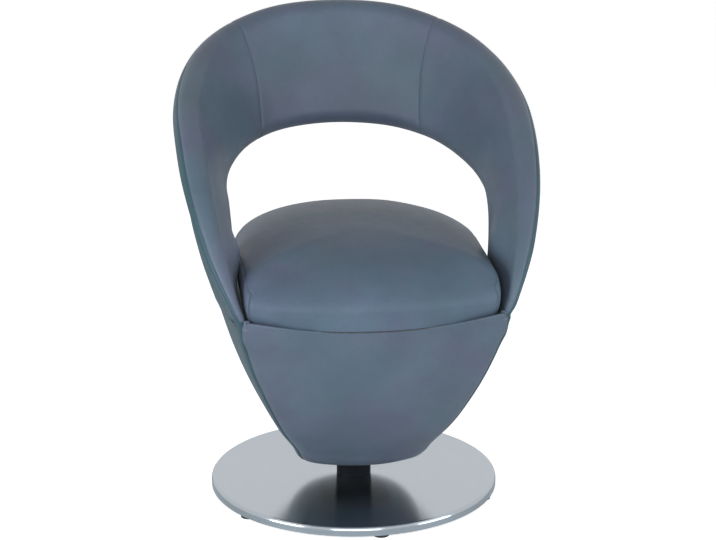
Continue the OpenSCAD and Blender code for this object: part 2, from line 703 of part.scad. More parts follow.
module frame_screws() color([0.60, 0.60, 0.62]) at_frame_screws() {
  translate([0, 0, plate_top - wood_head_h]) cylinder(d = wood_head_d, h = wood_head_h);
  translate([0, 0, plate_top]) cylinder(d = wood_screw_d, h = ply_t);
}
module base_board() color([0.74, 0.60, 0.42]) {
  ks = levels(level_share(body_z + dust_t + fit_gap), level_share(board_top));
  sheet(
    [for (k = ks) bucket_loop(k, skin_in)],
    [for (k = ks) lift(hole_plan(body_hole_r), bucket_z(k))]
  );
}
function hole_plan(r) =
  let (
    ring = bucket_plan(0, skin_in),
    middle = [0, (ring[0][1] + ring[ring_n / 2][1]) / 2]
  )
  [for (p = ring) r * unit(p - middle)];
module dust_cover() color([0.12, 0.12, 0.12]) difference() {
  translate([0, 0, body_z]) linear_extrude(dust_t) polygon(bucket_plan(0, skin_in));
  translate([0, 0, body_z - dust_t]) cylinder(r = body_hole_r, h = 3 * dust_t);
}
module inner_shell() color([0.62, 0.55, 0.42]) {
  ks = levels(level_share(board_top), level_share(ring_low));
  sheet([for (k = ks) bucket_loop(k, shell_in(k))], [for (k = ks) bucket_loop(k, cavity_in(k))]);
}
module seat_ring() color([0.78, 0.64, 0.45]) difference() {
  k = level_share(ring_low);
  translate([0, 0, ring_low]) linear_extrude(ply_t) difference() {
    polygon(bucket_plan(k, skin_in));
    polygon(bucket_plan(k, ring_w));
  }
  at_foot_screws(1) foot_pilot();
  at_foot_screws(-1) foot_pilot();
}
module foot_pilot() {
  translate([0, 0, seat_z - ply_t * foot_screw_bite_share])
    cylinder(d = wood_screw_d + 2 * press_gap, h = ply_t);
}
function strap_y(i) =
  let (s = bucket_size(level_share(ring_low), ring_w))
  lerp(-s[2] + strap_w / 2, s[5] - strap_w, (i - 1) / (strap_count - 1));
module seat_straps() color([0.16, 0.16, 0.17]) for (i = [1 : strap_count]) {
  y = strap_y(i);
  reach = min(ring_side(y - strap_w / 2), ring_side(y + strap_w / 2)) - ring_w + strap_lap;
  translate([-reach, y - strap_w / 2, seat_z]) cube([2 * reach, strap_w, strap_t]);
}

// Leather facings that close the top of the seat ring in front of and behind the arms
module facing_band() {
  difference() {
    polygon(bucket_plan(1, 0));
    polygon(bucket_plan(1, ring_w - strap_lap - facing_gap));
    children();
  }
}
module front_facing() color([0.20, 0.24, 0.28]) translate([0, 0, seat_z]) linear_extrude(strap_t)
  facing_band() {
    reach = root[0][0] - root[4] - skin_in - wall_gap;
    arm_in = root_x - root[4] - skin_in - wall_gap;
    translate([-overall_w, cushion_mid_y - overall_d / 4]) square([2 * overall_w, overall_d * 2]);
    translate([arm_in, -overall_d]) square([reach, 2 * overall_d]);
    translate([-arm_in - reach, -overall_d]) square([reach, 2 * overall_d]);
  }
module rear_facing() color([0.18, 0.28, 0.33]) translate([0, 0, seat_z]) linear_extrude(strap_t)
  facing_band() {
    rear = root[0][1] + root[4] + skin_in + fit_gap;
    translate([-overall_w, rear - 2 * overall_d]) square([2 * overall_w, 2 * overall_d]);
  }

// The steel hoop in the foam, welded to two feet that are screwed to the seat ring
root = hoop_frame(last_station);
root_mid = on_frame(root, root[3] / 2, 0);
root_turn = atan2(root[1][1], root[1][0]);
module hoop_tube() color([0.30, 0.30, 0.32]) {
  sides = 8;
  frames = [for (s = foam_stations(-last_station, last_station)) hoop_frame(s)];
  last = len(frames) - 1;
  outer = [for (f = frames) tube_loop(f, hoop_tube_d / 2, sides)];
  inner = [for (f = frames) tube_loop(f, hoop_tube_d / 2 - hoop_tube_wall, sides)];
  flat = function (loops) [
    for (j = [0 : last]) j > 0 && j < last ? loops[j] :
      [for (p = loops[j]) [p[0], p[1], seat_z + foot_t]]
  ];
  sheet(flat(outer), flat(inner));
}
module at_foot(side) {
  mirror([side < 0 ? 1 : 0, 0, 0]) translate([root_mid[0], root_mid[1], 0]) rotate(root_turn) children();
}
module at_foot_screws(side) {
  at_foot(side) for (x = [-1, 1]) translate([x * foot_l * foot_screw_pitch_share / 2, 0, 0]) children();
}
module hoop_foot(side) color([0.30, 0.30, 0.32]) difference() {
  at_foot(side) translate([-foot_l / 2, -foot_w / 2, seat_z]) cube([foot_l, foot_w, foot_t]);
  at_foot_screws(side) translate([0, 0, seat_z - foot_t])
    cylinder(d = wood_screw_d + 2 * press_gap, h = 3 * foot_t);
}
module foot_screws() color([0.60, 0.60, 0.62]) for (side = [-1, 1]) at_foot_screws(side) {
  bite = ply_t * foot_screw_bite_share * screw_share;
  translate([0, 0, seat_z - bite]) cylinder(d = wood_screw_d, h = bite + foot_t);
}

// The foam and the leather
module back_foam() color([0.93, 0.89, 0.72]) hoop_foam(-foam_seam, foam_seam);
module arm_foam(side) color([0.93, 0.89, 0.72]) {
  if (side > 0) hoop_foam(foam_seam, last_station);
  else hoop_foam(-last_station, -foam_seam);
}
module bucket_foam() color([0.93, 0.89, 0.72]) {
  ks = levels(level_share(board_top), level_share(ring_low));
  sheet(
    [for (k = ks) bucket_loop(k, skin_in)],
    [for (k = ks) bucket_loop(k, skin_in + pad_at(k))]
  );
}
module back_panel() color([0.33, 0.38, 0.44]) hoop_cover(-back_seam, back_seam, false);
module arm_panel(side) color([0.33, 0.38, 0.44]) {
  if (side > 0) hoop_cover(back_seam, last_station, false);
  else hoop_cover(-last_station, -back_seam, false);
}
module outer_back() color([0.18, 0.28, 0.33]) hoop_cover(-outer_seam, outer_seam, true);
module outer_arm(side) color([0.18, 0.28, 0.33]) {
  if (side > 0) hoop_cover(outer_seam, last_station, true);
  else hoop_cover(-last_station, -outer_seam, true);
}
module bucket_cover(front) {
  ks = [for (r = bucket_shares) r[0]];
  sheet(
    [for (k = ks) bucket_loop(k, 0)],
    [for (k = ks) bucket_loop(k, cover_t)],
    keep = function (i, j) front == (i < seam_i || i >= ring_n - seam_i)
  );
}
module front_panel() color([0.33, 0.38, 0.44]) bucket_cover(true);
module body_cover() color([0.18, 0.28, 0.33]) bucket_cover(false);

// The loose seat cushion: a foam core in a leather case
module seat_foam() color([0.95, 0.92, 0.78]) {
  g = sunk_grid(cushion_grid, cushion_cover_t + fit_gap);
  low = cushion_low + cushion_cover_t + fit_gap;
  points = concat(
    [for (row = g) for (p = row) [p[0], p[1], max(p[2], low)]],
    [cushion_top - [0, 0, cushion_cover_t + fit_gap]]
  );
  n = ring_n;
  pole = n * cushion_n;
  polyhedron(points, concat(
    [[for (i = [0 : n - 1]) i]],
    [
      for (j = [0 : cushion_n - 2]) for (i = [0 : n - 1])
        let (a = j * n + i, b = j * n + (i + 1) % n) each [[a, a + n, b + n], [a, b + n, b]]
    ],
    [for (i = [0 : n - 1]) [(cushion_n - 1) * n + i, pole, (cushion_n - 1) * n + (i + 1) % n]]
  ));
}
function in_front(i) = i < seam_i || i >= ring_n - seam_i;
module seat_top_cover() color([0.36, 0.40, 0.46]) {
  outer_pole = 2 * ring_n * cushion_n;
  last_row = (cushion_n - 1) * ring_n;
  inner_row = ring_n * cushion_n + last_row;
  open_faces = sheet_faces(
    ring_n, cushion_n, true,
    function (i, j) j >= cushion_seam_row || in_front(i), nowhere
  );
  top_wall = [
    for (f = open_faces)
      if (!(min(f) >= last_row && min(f) < last_row + ring_n && max(f) >= inner_row)) f
  ];
  polyhedron(
    concat(
      join(cushion_grid), join(cushion_inner_grid),
      [cushion_top, cushion_top - [0, 0, cushion_cover_t]]
    ),
    concat(
      top_wall,
      [for (i = [0 : ring_n - 1]) [last_row + i, outer_pole, last_row + (i + 1) % ring_n]],
      [for (i = [0 : ring_n - 1]) [inner_row + i, inner_row + (i + 1) % ring_n, outer_pole + 1]]
    )
  );
}
module seat_boxing() color([0.30, 0.35, 0.40])
  sheet(
    cushion_grid, cushion_inner_grid,
    keep = function (i, j) j < cushion_seam_row && !in_front(i)
  );
module seat_bottom_cover() color([0.20, 0.21, 0.22]) {
  r = cushion_row_shares[0];
  case_in = cushion_cover_t + 2 * fit_gap;
  translate([0, 0, cushion_low]) linear_extrude(cushion_cover_t)
    polygon(cushion_plan(r[1] * cushion_roll_r + case_in, r[2] * cushion_roll_r + case_in));
}

disc_cover();
ballast_plate();
post_flange();
flange_screws();
post_tube();
column_sleeve();
lower_bush();
upper_bush();
lower_race();
glide(1);  // glide_1
glide(2);  // glide_2
glide(3);  // glide_3
glide(4);  // glide_4
glide(5);  // glide_5
glide(6);  // glide_6
glide_screws();
ball_cage();
bearing_balls();
upper_race();
spindle();
retaining_washer();
retaining_screw();
swivel_plate();
plate_bolts();
tee_nuts();
mount_board();
rib(-1);  // rib_left
rib(1);  // rib_right
front_rail();
rear_rail();
frame_screws();
base_board();
dust_cover();
inner_shell();
seat_ring();
seat_straps();
front_facing();
rear_facing();
hoop_tube();
hoop_foot(-1);  // hoop_foot_left
hoop_foot(1);  // hoop_foot_right
foot_screws();
back_foam();
arm_foam(-1);  // arm_foam_left
arm_foam(1);  // arm_foam_right
bucket_foam();
back_panel();
arm_panel(-1);  // arm_panel_left
arm_panel(1);  // arm_panel_right
outer_back();
outer_arm(-1);  // outer_arm_left
outer_arm(1);  // outer_arm_right
front_panel();
body_cover();
seat_foam();
seat_top_cover();
seat_boxing();
seat_bottom_cover();
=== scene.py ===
# Pedestal swivel armchair with a hoop back: the upholstery, the brushed disc and the finishes.
import json
import math

import bpy
import numpy as np
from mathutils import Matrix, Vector, noise


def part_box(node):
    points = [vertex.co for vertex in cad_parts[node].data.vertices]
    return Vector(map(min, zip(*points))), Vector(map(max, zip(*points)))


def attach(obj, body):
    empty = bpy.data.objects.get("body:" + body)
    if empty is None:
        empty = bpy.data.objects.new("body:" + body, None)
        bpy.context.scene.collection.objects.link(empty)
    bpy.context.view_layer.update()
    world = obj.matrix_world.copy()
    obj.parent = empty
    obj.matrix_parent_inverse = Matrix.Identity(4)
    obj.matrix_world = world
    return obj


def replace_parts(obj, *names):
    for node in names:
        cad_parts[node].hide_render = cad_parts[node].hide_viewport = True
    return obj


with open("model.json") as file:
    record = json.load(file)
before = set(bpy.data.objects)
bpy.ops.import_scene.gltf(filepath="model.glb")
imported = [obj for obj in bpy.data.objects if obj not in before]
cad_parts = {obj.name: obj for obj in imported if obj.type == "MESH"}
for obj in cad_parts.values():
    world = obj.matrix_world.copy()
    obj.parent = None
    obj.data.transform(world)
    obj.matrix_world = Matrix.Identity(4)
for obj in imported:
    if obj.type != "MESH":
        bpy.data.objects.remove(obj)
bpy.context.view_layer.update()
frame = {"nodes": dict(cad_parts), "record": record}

nodes = frame["nodes"]
slot_of = {part["node"]: part["material_slot"] for part in frame["record"]["subparts"]}
MM = 0.001

# Driving sizes of the chair
overall_w = 600 * MM
overall_d = 612 * MM
overall_h = 810 * MM
seat_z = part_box("seat_ring")[1].z
body_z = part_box("dust_cover")[0].z
pad_t = 43 * MM
bucket_pad_t = 30 * MM
bucket_pad_low_t = 12 * MM
cover_t = 3 * MM
inner_crown = 3 * MM
outer_crown = 5 * MM
fit_gap = 0.3 * MM
bucket_corner_r = 16 * MM
cushion_h = 86 * MM
cushion_crown = 18.6 * MM
cushion_drop = 12 * MM
cushion_front_w = 396 * MM
cushion_w = 416 * MM
cushion_gap = 6.2 * MM
cushion_side_gap = 16.8 * MM
cushion_roll_r = 24 * MM
cushion_corner_r = 20 * MM
cushion_cover_t = 2 * MM
strap_t = 1.8 * MM

# Rows of points, seams and the life in the leather
row_step = 7 * MM
end_n = 12
flat_n = 18
seam_crowding = 1.5
seam_depth = 1.2 * MM
seam_reach = 2.4 * MM
slack = 0.5 * MM
slack_length = 85 * MM

# The arms' padding swells towards the sitter round one station, and the back's seams are bent.
# Their reaches are in stations too.
arm_fill = 11.5 * MM
swell_station = 10.2
swell_reach = 0.7
swell_lean = 0.75
seam_bend = 0.46
seam_bend_low = 0.02
seam_bend_level = 0.72
seam_bend_reach = 1.5
bend_step = 0.02
core_rows = 8

# The foot of each arm: how far it stands out, forward and slimmer than the bare solid.
# A zone gives how many stations before the foot's end a change starts, and how many it takes.
root_out = 0.3 * MM
root_forward = 3.4 * MM
root_slim = 1.2 * MM
root_rim_share = 0.74
root_tuck_share = 0.38
run_zone = (2, 2)
foot_zone = (1.8, 1.3)
slim_zone = (2.2, 1.5)
tuck_zone = (0.42, 0.27)
rim_wrap = math.radians(20)

# The front panel's corner: how high it climbs on the arm's foot and from where to where,
# and how the lower body gives way to that foot
horn_h = 13.5 * MM
horn_least = 0.2 * MM
horn_low_x = 85 * MM
horn_high_x = 201 * MM
horn_power = 1.3
horn_rear_share = 0.76
horn_fade_share = 0.12
horn_rows = 7
horn_gap = 0.4 * MM
flow_h = 65 * MM
flow_power = 1.5
push_rounds = 4
push_reach = 0.35
hug_reach = 0.1
foot_search = 1.5
foot_step = 0.02

# The lower body's edges: the hem under its foot, the fold on the seat ring and the facings
hem_w = 10 * MM
hem_dip = 0.4 * MM
hem_round_r = 2 * MM
hem_round_h = 3 * MM
fold_r = 3.2 * MM
fold_n = 4
facing_reaches = [5.5 * MM, 8 * MM, 12 * MM, 26 * MM, 43 * MM, 60 * MM]
facing_fall = 7 * MM
facing_centre_share = 0.1

# The upholstered hoop, one row a station from the middle of the back to the seat ring.
# The rim's centre: share across, then from the root's place to the widest, along and up.
# The centre of the edge round the back opening: shares across, along and up.
# The last are the shares of the padding's thickness and of the outer crown.
back_depth_share = 0.18
back_height_share = 0.397
root_pad_share = 0.46
hoop_shares = [
    [0.000, 1.000, 1.000, 1.000, 0.000, 1 - back_depth_share, 1 - back_height_share, 1.00, 1.0],
    [0.362, 1.000, 0.960, 0.985, 0.366, 0.812, 0.588, 1.00, 1.0],
    [0.632, 1.000, 0.845, 0.935, 0.613, 0.708, 0.563, 1.00, 1.0],
    [0.837, 1.000, 0.635, 0.870, 0.807, 0.531, 0.534, 1.00, 1.0],
    [0.950, 1.000, 0.350, 0.790, 0.939, 0.326, 0.494, 1.00, 1.0],
    [1.000, 1.000, 0.080, 0.705, 1.012, 0.138, 0.462, 1.00, 1.0],
    [1.000, 1.000, -0.155, 0.625, 1.044, -0.014, 0.430, 1.00, 1.1],
    [1.000, 0.960, -0.335, 0.540, 1.050, -0.135, 0.402, 0.97, 1.4],
    [1.000, 0.880, -0.490, 0.455, 1.036, -0.235, 0.375, 0.90, 2.0],
    [1.000, 0.755, -0.630, 0.360, 1.024, -0.325, 0.320, 0.80, 2.6],
    [1.000, 0.570, -0.770, 0.245, 1.000, -0.370, 0.225, 0.62, 2.8],
    [1.000, 0.305, -0.895, 0.125, 1.000, -0.300, 0.115, 0.51, 2.9],
    [1.000, 0.000, -0.940, 0.000, 1.000, -0.160, 0.000, root_pad_share, 2.2],
]
last_station = len(hoop_shares) - 1
back_seam = 2
outer_seam = 3

# The lower body, one row a level from its foot to the seat ring.
# Shares of the height, of half the front panel's width for the corner, of the arm's root's
# splay for the side's extra width, then of half the depth for the corner, the front's crown,
# the side's widest place and the rear.
bucket_shares = [
    [0.00, 0.320, 0.106, 0.190, 0.070, 0.020, 0.295],
    [0.02, 0.383, 0.150, 0.225, 0.085, 0.022, 0.325],
    [0.06, 0.435, 0.180, 0.315, 0.105, 0.025, 0.360],
    [0.17, 0.512, 0.300, 0.438, 0.110, 0.035, 0.420],
    [0.30, 0.624, 0.550, 0.555, 0.110, 0.045, 0.485],
    [0.45, 0.721, 0.800, 0.663, 0.108, 0.060, 0.550],
    [0.60, 0.815, 0.920, 0.745, 0.105, 0.072, 0.605],
    [0.75, 0.897, 0.980, 0.807, 0.100, 0.085, 0.655],
    [0.88, 0.950, 1.090, 0.861, 0.098, 0.095, 0.690],
    [1.00, 0.990, 1.217, 0.905, 0.095, 0.105, 0.720],
]
plan_power = 0.8

# How far the padding of the lower body swells outwards, as shares of body_fill by height,
# and the levels between which its foam stands
body_fill = 8 * MM
foam_levels = np.linspace(0.05, 0.935, 22)
fill_shares = [
    [0.00, 0.00],
    [0.02, 0.20],
    [0.06, 0.60],
    [0.12, 0.75],
    [0.20, 0.62],
    [0.30, 0.50],
    [0.45, 0.40],
    [0.60, 0.25],
    [0.80, 0.10],
    [1.00, 0.00],
]

# The seat cushion: a wall that leans out to its widest level, then a rolled edge and a dome
cushion_low = seat_z + strap_t + fit_gap
cushion_mid_share = 0.16
cushion_rear_share = 0.72
cushion_crown_share = 0.095
cushion_foot_side_share = 0.40
cushion_tuck_side = 11 * MM
cushion_tuck_front = 3.2 * MM
cushion_wide_share = 0.645
cushion_dome = 12.4 * MM
cushion_swell = 5.9 * MM
cushion_side_swell = -0.9 * MM
cushion_turn = math.radians(-0.6)
cushion_plan_power = 0.93
cushion_front_zone = (0.72, 0.22)
cushion_corner_x = 120 * MM
cushion_corner_span = 75 * MM
cushion_sunk_share = 0.84
tuck_power = 2.2
front_dip = 3 * MM
lip_half_w = 110 * MM
lip_out = 2 * MM
lip_power = 1.5
lip_gain = 1.4
roll_power = 7.9
roll_fullness = 0.375
front_wide_share = 0.47
front_roll_power = 4.4
front_roll_fullness = 0.54
seam_rise_share = 0.5
under_shares = [0.015, 0.2, 0.4, 0.6, 0.8, 0.95]

# Where these put the rim, the roots of the arms and the width of the lower body
rim_half = pad_t / 2 + fit_gap + cover_t
rim_x = overall_w / 2 - rim_half
back_lean = math.atan2(
    back_depth_share * (overall_d / 2 - rim_half), back_height_share * (overall_h - rim_half - seat_z)
)
rim_y = overall_d / 2 - rim_half * math.cos(back_lean)
crest_z = overall_h - rim_half * math.cos(back_lean)
root_half = pad_t / 2 * root_pad_share + fit_gap + cover_t
foot_in = cushion_roll_r * cushion_foot_side_share
root_x = cushion_front_w / 2 - foot_in + cushion_gap + root_half
root_edge_x = cushion_w / 2 - foot_in + cushion_side_gap + root_half
bucket_w = 2 * (root_x + root_half - cover_t)


def lerp(a, b, t):
    return a + (b - a) * t


def unit(v):
    return v / np.linalg.norm(v, axis=-1, keepdims=True)


def ramp(t):
    t = np.clip(t, 0, 1)
    return t * t * (3 - 2 * t)


def spread(length):
    """Places along a length about a row apart, closer together by each end, where a seam runs."""
    near = np.array([0, 0.25, 0.55, 0.95, 1.45]) * seam_reach
    n = max(2, int(round((length - 2 * near[-1]) / row_step)))
    return np.concatenate([
        near[:-1], np.linspace(near[-1], length - near[-1], n + 1), length - near[-2::-1],
    ])


def seam_dip(distance):
    """How far the leather is drawn down at a distance from a seam."""
    return seam_depth * np.exp(-((distance / seam_reach) ** 2))


# Mesh making
def grid_faces(cols, rows, wrap, flip=False):
    """Faces between rows of points, round a closed loop if they wrap."""
    faces = []
    for j in range(rows - 1):
        for i in range(cols if wrap else cols - 1):
            a = j * cols + i
            b = j * cols + (i + 1) % cols
            face = (a, b, b + cols, a + cols)
            faces.append(face[::-1] if flip else face)
    return faces


def new_object(name, points, faces):
    mesh = bpy.data.meshes.new(name)
    mesh.from_pydata([tuple(p) for p in points], [], faces)
    mesh.validate()
    mesh.shade_smooth()
    piece = bpy.data.objects.new(name, mesh)
    bpy.context.collection.objects.link(piece)
    return piece


def border_edges(faces):
    """Edges that only one face uses, in that face's direction."""
    seen = dict.fromkeys(edge for face in faces for edge in zip(face, face[1:] + face[:1]))
    return [(a, b) for a, b in seen if (b, a) not in seen]


def shell(name, outer, inner, faces):
    """A closed sheet between outer and inner points that share the same faces."""
    used = sorted({v for face in faces for v in face})
    place = {v: k for k, v in enumerate(used)}
    n = len(used)
    front = [tuple(place[v] for v in face) for face in faces]
    back = [tuple(place[v] + n for v in face[::-1]) for face in faces]
    walls = [(b, a, a + n, b + n) for a, b in border_edges(front)]
    return new_object(name, list(outer[used]) + list(inner[used]), front + back + walls)


def soften(points, normals, seed, amount=1.0):
    """Moves points a little along their normals, as leather lies over foam."""
    moved = np.array(points)
    for k, (p, n) in enumerate(zip(points, normals)):
        place = Vector(p) / slack_length + Vector((seed, 2 * seed, 0))
        moved[k] += n * (slack * amount * noise.noise(place))
    return moved


def face_normals(points, faces):
    """A normal for each point, from the faces round it."""
    normals = np.zeros_like(points)
    for face in faces:
        a, b, c, d = (points[v] for v in (face + face[-1:])[:4])
        n = np.cross(c - a, d - b)
        for v in face:
            normals[v] += n
    return normals / np.maximum(np.linalg.norm(normals, axis=1, keepdims=True), 1e-12)


# The hoop's surface
def hoop_row(i):
    """A station's row in metres, mirrored past the middle of the back and past the foot."""
    if i < 0:
        r = hoop_row(-i)
        return r * np.array([-1, 1, 1, -1, 1, 1, 1, 1])
    if i > last_station:
        return 2 * hoop_row(last_station) - hoop_row(2 * last_station - i)
    r = hoop_shares[i]
    return np.array([
        r[0] * lerp(root_x, rim_x, r[1]), r[2] * rim_y, lerp(seat_z, crest_z, r[3]),
        r[4] * root_edge_x, r[5] * rim_y, lerp(seat_z, crest_z, r[6]),
        r[7] * pad_t / 2, r[8] * outer_crown,
    ])


hoop_controls = [
    hoop_row(i) + (2 * hoop_row(i) - hoop_row(i - 1) - hoop_row(i + 1)) / 6
    for i in range(-1, last_station + 3)
]


def by_the_foot(s, zone):
    """Nothing along the hoop and one at the arm's foot, with the change in a zone."""
    start, span = zone
    return float(ramp((abs(s) - last_station + start) / span))


def hoop_frame(s):
    """The section at a station: edge, way up, way to the sitter, width, half thickness, crown."""
    side = -1.0 if s < 0 else 1.0
    i = min(int(abs(s)), last_station)
    u = abs(s) - i
    c = hoop_controls[i:i + 4]
    w = [(1 - u) ** 3, 3 * u ** 3 - 6 * u * u + 4, -3 * u ** 3 + 3 * u * u + 3 * u + 1, u ** 3]
    slope = [-(1 - u) ** 2, 3 * u * u - 4 * u, -3 * u * u + 2 * u + 1, u * u]
    v = sum(a * b for a, b in zip(w, c)) / 6
    d = sum(a * b for a, b in zip(slope, c)) / 2
    rim, edge = v[0:3], v[3:6]
    foot = by_the_foot(s, foot_zone)
    rim = rim + foot * np.array([root_out, -root_forward, 0])
    run = lerp(unit(d[0:3] + d[3:6]), np.array([0, 0, -1.0]), by_the_foot(s, run_zone))
    up = unit(rim - edge)
    face = unit(np.cross(run, up))
    mirror = np.array([side, 1, 1])
    half = v[6] - root_slim * foot
    return edge * mirror, up * mirror, face * mirror, np.linalg.norm(rim - edge), half, v[7]


def arm_swell(s):
    """How far the arm's padding swells towards the sitter, most just above the cushion."""
    return arm_fill * math.exp(-(((abs(s) - swell_station) / swell_reach) ** 2))


def rim_share(s):
    """The radius round the rim as a share of the edge's: it slims to the foot, then tucks in."""
    tuck = root_tuck_share * by_the_foot(s, tuck_zone)
    return lerp(1, root_rim_share, by_the_foot(s, slim_zone)) * (1 - tuck)


def seam_shift(t):
    """How far the back's seams bend outwards at a share of the height, in stations."""
    return seam_bend_low + seam_bend * (t - seam_bend_level) ** 2


def half_section(f, grow, outside, fine, swell, slim, wrap=rim_wrap):
    """One half of a section, from the edge of the opening over a padded face to the rim.

    It has grow added to its half thickness, and with fine its points crowd by its seams.
    Its padding swells towards the sitter, slim is rim_share, and wrap turns the rim's seam.
    """
    edge, up, face, w, half, crown = f
    r = half + grow
    rim_r = r * slim
    turn = np.linspace(0, 1, end_n + 1) ** (seam_crowding if fine else 1.0)
    sign = -1 if outside else 1
    rise = crown if outside else inner_crown
    points = []
    for t in turn[:-1]:
        angle = math.pi / 2 * t
        dip = seam_dip(r * angle) if fine else 0
        points.append((-(r - dip) * math.cos(angle), (r - dip) * math.sin(angle)))
    for t in np.linspace(0, 1, flat_n + 1):
        fill = rise * math.sin(math.pi * t) ** 2 + swell * math.sin(math.pi * t ** swell_lean) ** 2
        points.append((w * t, lerp(r, rim_r, t) + fill))
    seam_angle = wrap if outside else -wrap
    for t in turn[-2::-1]:
        angle = lerp(seam_angle, math.pi / 2, t)
        dip = seam_dip(rim_r * (angle - seam_angle)) if fine else 0
        points.append((w + (rim_r - dip) * math.cos(angle), (rim_r - dip) * math.sin(angle)))
    return np.array([edge + a * up + sign * b * face for a, b in points])


def hoop_stations(a, b):
    """Stations from a to b, their places by length along the hoop, and the whole length."""
    coarse = np.linspace(a, b, 400)
    middle = np.array([f[0] + f[1] * f[3] / 2 for f in (hoop_frame(s) for s in coarse)])
    along = np.concatenate([[0], np.cumsum(np.linalg.norm(np.diff(middle, axis=0), axis=1))])
    places = spread(along[-1])
    return np.interp(places, along, coarse), places, along[-1]


def bent_section(s, grow, outside, fine):
    """A section whose points slide along the hoop, so that the back's seams are bent."""
    near = 0.0 if outside else max(0.0, 1 - abs(abs(s) - back_seam) / seam_bend_reach)
    swell = 0.0 if outside else arm_swell(s)
    base = half_section(hoop_frame(s), grow, outside, fine, swell, rim_share(s))
    if near == 0 or s == 0:
        return base
    ahead = hoop_frame(s + math.copysign(bend_step, s))
    slope = (half_section(ahead, grow, outside, fine, swell, rim_share(s)) - base) / bend_step
    edge, up, _, w, _, _ = hoop_frame(s)
    t = np.clip((base - edge) @ up / w, -0.1, 1.12)
    return base + slope * (seam_shift(t) * ramp(near))[:, None]


def hoop_panel(name, a, b, outside, seed):
    """The leather over one half of the hoop's section between two stations."""
    stations, places, length = hoop_stations(a, b)
    outer, inner = [], []
    for s, place in zip(stations, places):
        dip = seam_dip(place) + seam_dip(length - place)
        outer.append(bent_section(s, fit_gap + cover_t - dip, outside, True))
        inner.append(bent_section(s, fit_gap / 2 - dip / 4, outside, False))
    cols = len(outer[0])
    faces = grid_faces(cols, len(stations), False, flip=outside)
    outer = np.concatenate(outer)
    inner = np.concatenate(inner)
    normals = face_normals(outer, faces)
    return shell(name, soften(outer, normals, seed), inner, faces)


def hoop_core(name, a, b):
    """The foam inside the hoop between two stations, as one closed solid."""
    loops = []
    for s in np.linspace(a, b, int(abs(b - a) * core_rows)):
        f = hoop_frame(s)
        front = half_section(f, -fit_gap, False, False, arm_swell(s), rim_share(s), wrap=0)
        rear = half_section(f, -fit_gap, True, False, 0.0, rim_share(s), wrap=0)
        loops.append(np.concatenate([front, rear[-2:0:-1]]))
    cols = len(loops[0])
    faces = grid_faces(cols, len(loops), True)
    faces.append(tuple(range(cols))[::-1])
    faces.append(tuple((len(loops) - 1) * cols + i for i in range(cols)))
    return new_object(name, np.concatenate(loops), faces)


# The lower body's surface
def smooth_lookup(table, column, k):
    """A smooth curve through a column of a table of shares."""
    xs = np.array([row[0] for row in table])
    ys = np.array([row[column] for row in table])
    slopes = np.gradient(ys, xs)
    k = min(max(k, xs[0]), xs[-1])
    i = min(np.searchsorted(xs, k, side="right") - 1, len(xs) - 2)
    h = xs[i + 1] - xs[i]
    t = (k - xs[i]) / h
    return (
        (2 * t ** 3 - 3 * t * t + 1) * ys[i] + (t ** 3 - 2 * t * t + t) * h * slopes[i]
        + (3 * t * t - 2 * t ** 3) * ys[i + 1] + (t ** 3 - t * t) * h * slopes[i + 1]
    )


front_n = 22
corner_n = 8
side_n = 18
rear_n = 34
ring_n = 2 * (front_n + corner_n + side_n + rear_n)
seam_i = front_n + corner_n // 2
seam_columns = (seam_i, ring_n - seam_i)


def front_arc(x, w, front, crown):
    return -front - crown * (1 - (x / w) ** 2)


def side_at(y, w, wide, front, mid):
    return wide - (wide - w) * ((mid - y) / (mid + front)) ** 2


def plan(w, wide, front, crown, mid, rear, r, power=plan_power):
    """An outline seen from above, from the middle of the front round by the right.

    It is w wide at its front corners, which r rounds, and widest at mid, as half widths. The
    corners stand at -front along the depth, crown bows the front between them, and the curve
    behind mid ends at rear.
    """
    x1 = w - r
    y1 = -front + r
    p1 = (x1, front_arc(x1, w, front, crown))
    p2 = (side_at(y1, w, wide, front, mid), y1)
    across = [x1 * i / front_n for i in range(front_n + 1)]
    half = [(x, front_arc(x, w, front, crown)) for x in across]
    for i in range(1, corner_n + 1):
        t = i / corner_n
        u = 1 - t
        half.append((
            u * u * p1[0] + 2 * t * u * w + t * t * p2[0],
            u * u * p1[1] - 2 * t * u * front + t * t * p2[1],
        ))
    for i in range(1, side_n + 1):
        y = lerp(y1, mid, i / side_n)
        half.append((side_at(y, w, wide, front, mid), y))
    for i in range(1, rear_n + 1):
        a = math.pi / 2 * i / rear_n
        half.append((
            wide * max(math.cos(a), 0) ** power, mid + (rear - mid) * math.sin(a) ** power
        ))
    return np.array(half + [(-x, y) for x, y in half[-2:0:-1]])


def bucket_plan(k, inset):
    """The lower body's outline at a level, also a little above its top, drawn in by an inset."""
    top = bucket_shares[-1][0]
    v = [
        smooth_lookup(bucket_shares, c, min(k, top))
        + max(0.0, k - top) * (bucket_shares[-1][c] - bucket_shares[-2][c]) / (top - bucket_shares[-2][0])
        for c in range(1, 7)
    ]
    half_d = overall_d / 2
    inset = inset - body_fill * smooth_lookup(fill_shares, 1, k)
    corner = v[0] * bucket_w / 2
    r = max(bucket_corner_r - inset, bucket_corner_r / 3)
    return plan(
        corner - inset, corner + v[1] * (root_edge_x - root_x) - inset, v[2] * half_d - inset,
        v[3] * half_d, -v[4] * half_d, v[5] * half_d - inset, r,
    )


def loop_lengths(loop):
    """How far each point of a closed loop lies from its start, and the whole length."""
    steps = np.linalg.norm(np.roll(loop, -1, axis=0) - loop, axis=1)
    return np.concatenate([[0], np.cumsum(steps)[:-1]]), steps.sum()


def seam_distance(loop):
    """How far each point of a closed loop lies from the nearer of the two upright seams."""
    along, total = loop_lengths(loop)
    near = np.full(len(loop), total)
    for k in seam_columns:
        gap = np.abs(along - along[k])
        near = np.minimum(near, np.minimum(gap, total - gap))
    return near


